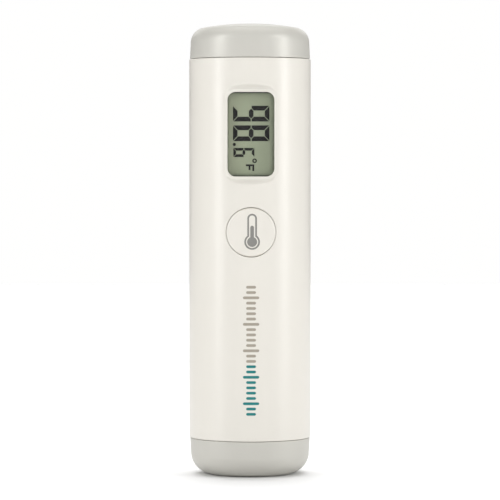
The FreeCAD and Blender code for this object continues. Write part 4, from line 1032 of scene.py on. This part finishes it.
def cap_top(inset, steps):
    """Shoulder arc, then the dome arc to the axis: the cap's outline moved inwards by inset."""
    lean = math.degrees(math.atan2(END_R - SHOULDER_AT[0] - SHOULDER_R, SHOULDER_AT[1] - CAP_FOOT))
    shoulder = arc(SHOULDER_AT, SHOULDER_R - inset, lean, 80.0, steps)
    rim, apex = shoulder[-1], CAP_TOP - inset
    rise = apex - rim[1]
    dome_r = (rim[0] ** 2 + rise ** 2) / (2 * rise)
    dome = arc((0.0, apex - dome_r), dome_r, math.degrees(math.acos(rim[0] / dome_r)), 90.0, steps + 8)
    return np.concatenate([shoulder, dome[1:]])


rim = (END_R - SOFT_EDGE, CAP_FOOT + SOFT_EDGE)
cap = outline_of((END_R - CAP_SKIN, CAP_FOOT), arc(rim, SOFT_EDGE, -90.0, 0.0, 6), cap_top(0.0, 24),
                 cap_top(CAP_SKIN, 12)[::-1])
add_piece("probe_cap_shell_moulding", [turned(cap)], "probe_cap", "cap_plastic", ["probe_cap_shell"])
liner = outline_of(
    (END_R - CAP_SKIN - 0.05, LINER_REST), cap_top(CAP_SKIN + 0.05, 14),
    cap_top(CAP_SKIN + LINER_SKIN, 12)[::-1][:-9], (PLUG_IN, SHOULDER_AT[1] - 0.4), (PLUG_IN, LINER_LOW + 0.5),
    (PLUG_IN + 0.3, LINER_LOW), (PLUG_R - 0.3, LINER_LOW), (PLUG_R, LINER_LOW + 0.5), (PLUG_R, LINER_REST))
add_piece("probe_cap_liner_moulding", [turned(liner)], "probe_cap", "liner_plastic", ["probe_cap_liner"])

# ----------------------------------------------------------
# Studio: a plain white floor and surround, a strip light on each side and one behind, and a soft
# light above. The camera stands in front and looks slightly down on the barrel.
# ----------------------------------------------------------
REACH = 1.3
FLOOR_BOUNCE = 0.74
floor_mesh = bpy.data.meshes.new("studio_floor")
corners = [(-REACH, -REACH, 0), (REACH, -REACH, 0), (REACH, REACH, 0), (-REACH, REACH, 0)]
floor_mesh.from_pydata(corners, [], [(0, 1, 2, 3)])
floor = add_object("studio_floor", floor_mesh)
finish("studio_floor", (0.95, 0.95, 0.95), (0.94, 0.94, 0.94), drift_scale=3.0, depth=0.0,
       roughness=(0.9, 0.95))
floor_mesh.materials.append(FINISHES["studio_floor"])
# The floor is white where it is seen, and throws back less of the light that falls on it.
tree = FINISHES["studio_floor"].node_tree
base = tree.nodes["Principled BSDF"].inputs["Base Color"]
seen = add_node(tree, "ShaderNodeLightPath", {}).outputs["Is Camera Ray"]
tree.links.new(blend(tree, seen, (*(FLOOR_BOUNCE,) * 3, 1), base.links[0].from_socket), base)

world = bpy.data.worlds.new("studio")
bpy.context.scene.world = world
world.use_nodes = True
# What the camera sees is white. What lights the object is dimmer, and dimmest above and behind it.
sky = world.node_tree
direction = add_node(sky, "ShaderNodeTexCoord", {}).outputs["Generated"]
split = add_node(sky, "ShaderNodeSeparateXYZ", {"Vector": direction}).outputs
inputs = {0: split["Z"], 1: 0.9, 2: split["Y"]}
behind = add_node(sky, "ShaderNodeMath", inputs, operation="MULTIPLY_ADD").outputs["Value"]
level = eased(sky, behind, -0.1, 0.6, 0.68, 0.10)
seen = add_node(sky, "ShaderNodeLightPath", {}).outputs["Is Camera Ray"]
strength = blend(sky, seen, level, 1.0, "FLOAT")
feed(sky, sky.nodes["Background"], {"Color": (1.0, 1.0, 0.995, 1), "Strength": strength})


def softbox(name, azimuth, height, distance, width, tall, watts):
    """Rectangular light at an azimuth from the front, in degrees, facing the barrel's middle."""
    light = bpy.data.lights.new(name, "AREA")
    light.shape = "RECTANGLE"
    light.size = width
    light.size_y = tall
    light.energy = watts
    lamp = add_object(name, light)
    a = math.radians(azimuth)
    lamp.location = (distance * math.sin(a), -distance * math.cos(a), height)
    target = np.array([0.0, 0.0, 0.06]) - np.array(lamp.location)
    pitch = math.atan2(target[2], math.hypot(target[0], target[1]))
    lamp.rotation_euler = (math.pi / 2 + pitch, 0.0, a)


softbox("left_strip", -62.0, 0.26, 1.2, 0.34, 1.6, 7.904)
softbox("right_strip", 67.0, 0.26, 1.2, 0.38, 1.6, 8.736)
softbox("back_strip", 180.0, 0.55, 1.2, 1.4, 0.25, 1.6)
ceiling = bpy.data.lights.new("ceiling", "SUN")
ceiling.energy = 2.75
ceiling.angle = math.radians(60.0)
ceiling_lamp = add_object("ceiling", ceiling)
ceiling_lamp.visible_glossy = False
ceiling_lamp.rotation_euler = (math.radians(-22.0), 0.0, 0.0)

lens = bpy.data.cameras.new("camera")
lens.lens = 210.0
lens.sensor_width = 36.0
camera = add_object("camera", lens)
CAMERA_DISTANCE, CAMERA_Z, AIM_Z = 0.818, 0.0863, 0.06265
turn = math.radians(-1.0)
camera.location = (CAMERA_DISTANCE * math.sin(turn), -CAMERA_DISTANCE * math.cos(turn), CAMERA_Z)
camera.rotation_euler = (math.pi / 2 - math.atan2(CAMERA_Z - AIM_Z, CAMERA_DISTANCE), 0.0, turn)
bpy.context.scene.camera = camera
bpy.context.scene.view_settings.view_transform = "Standard"
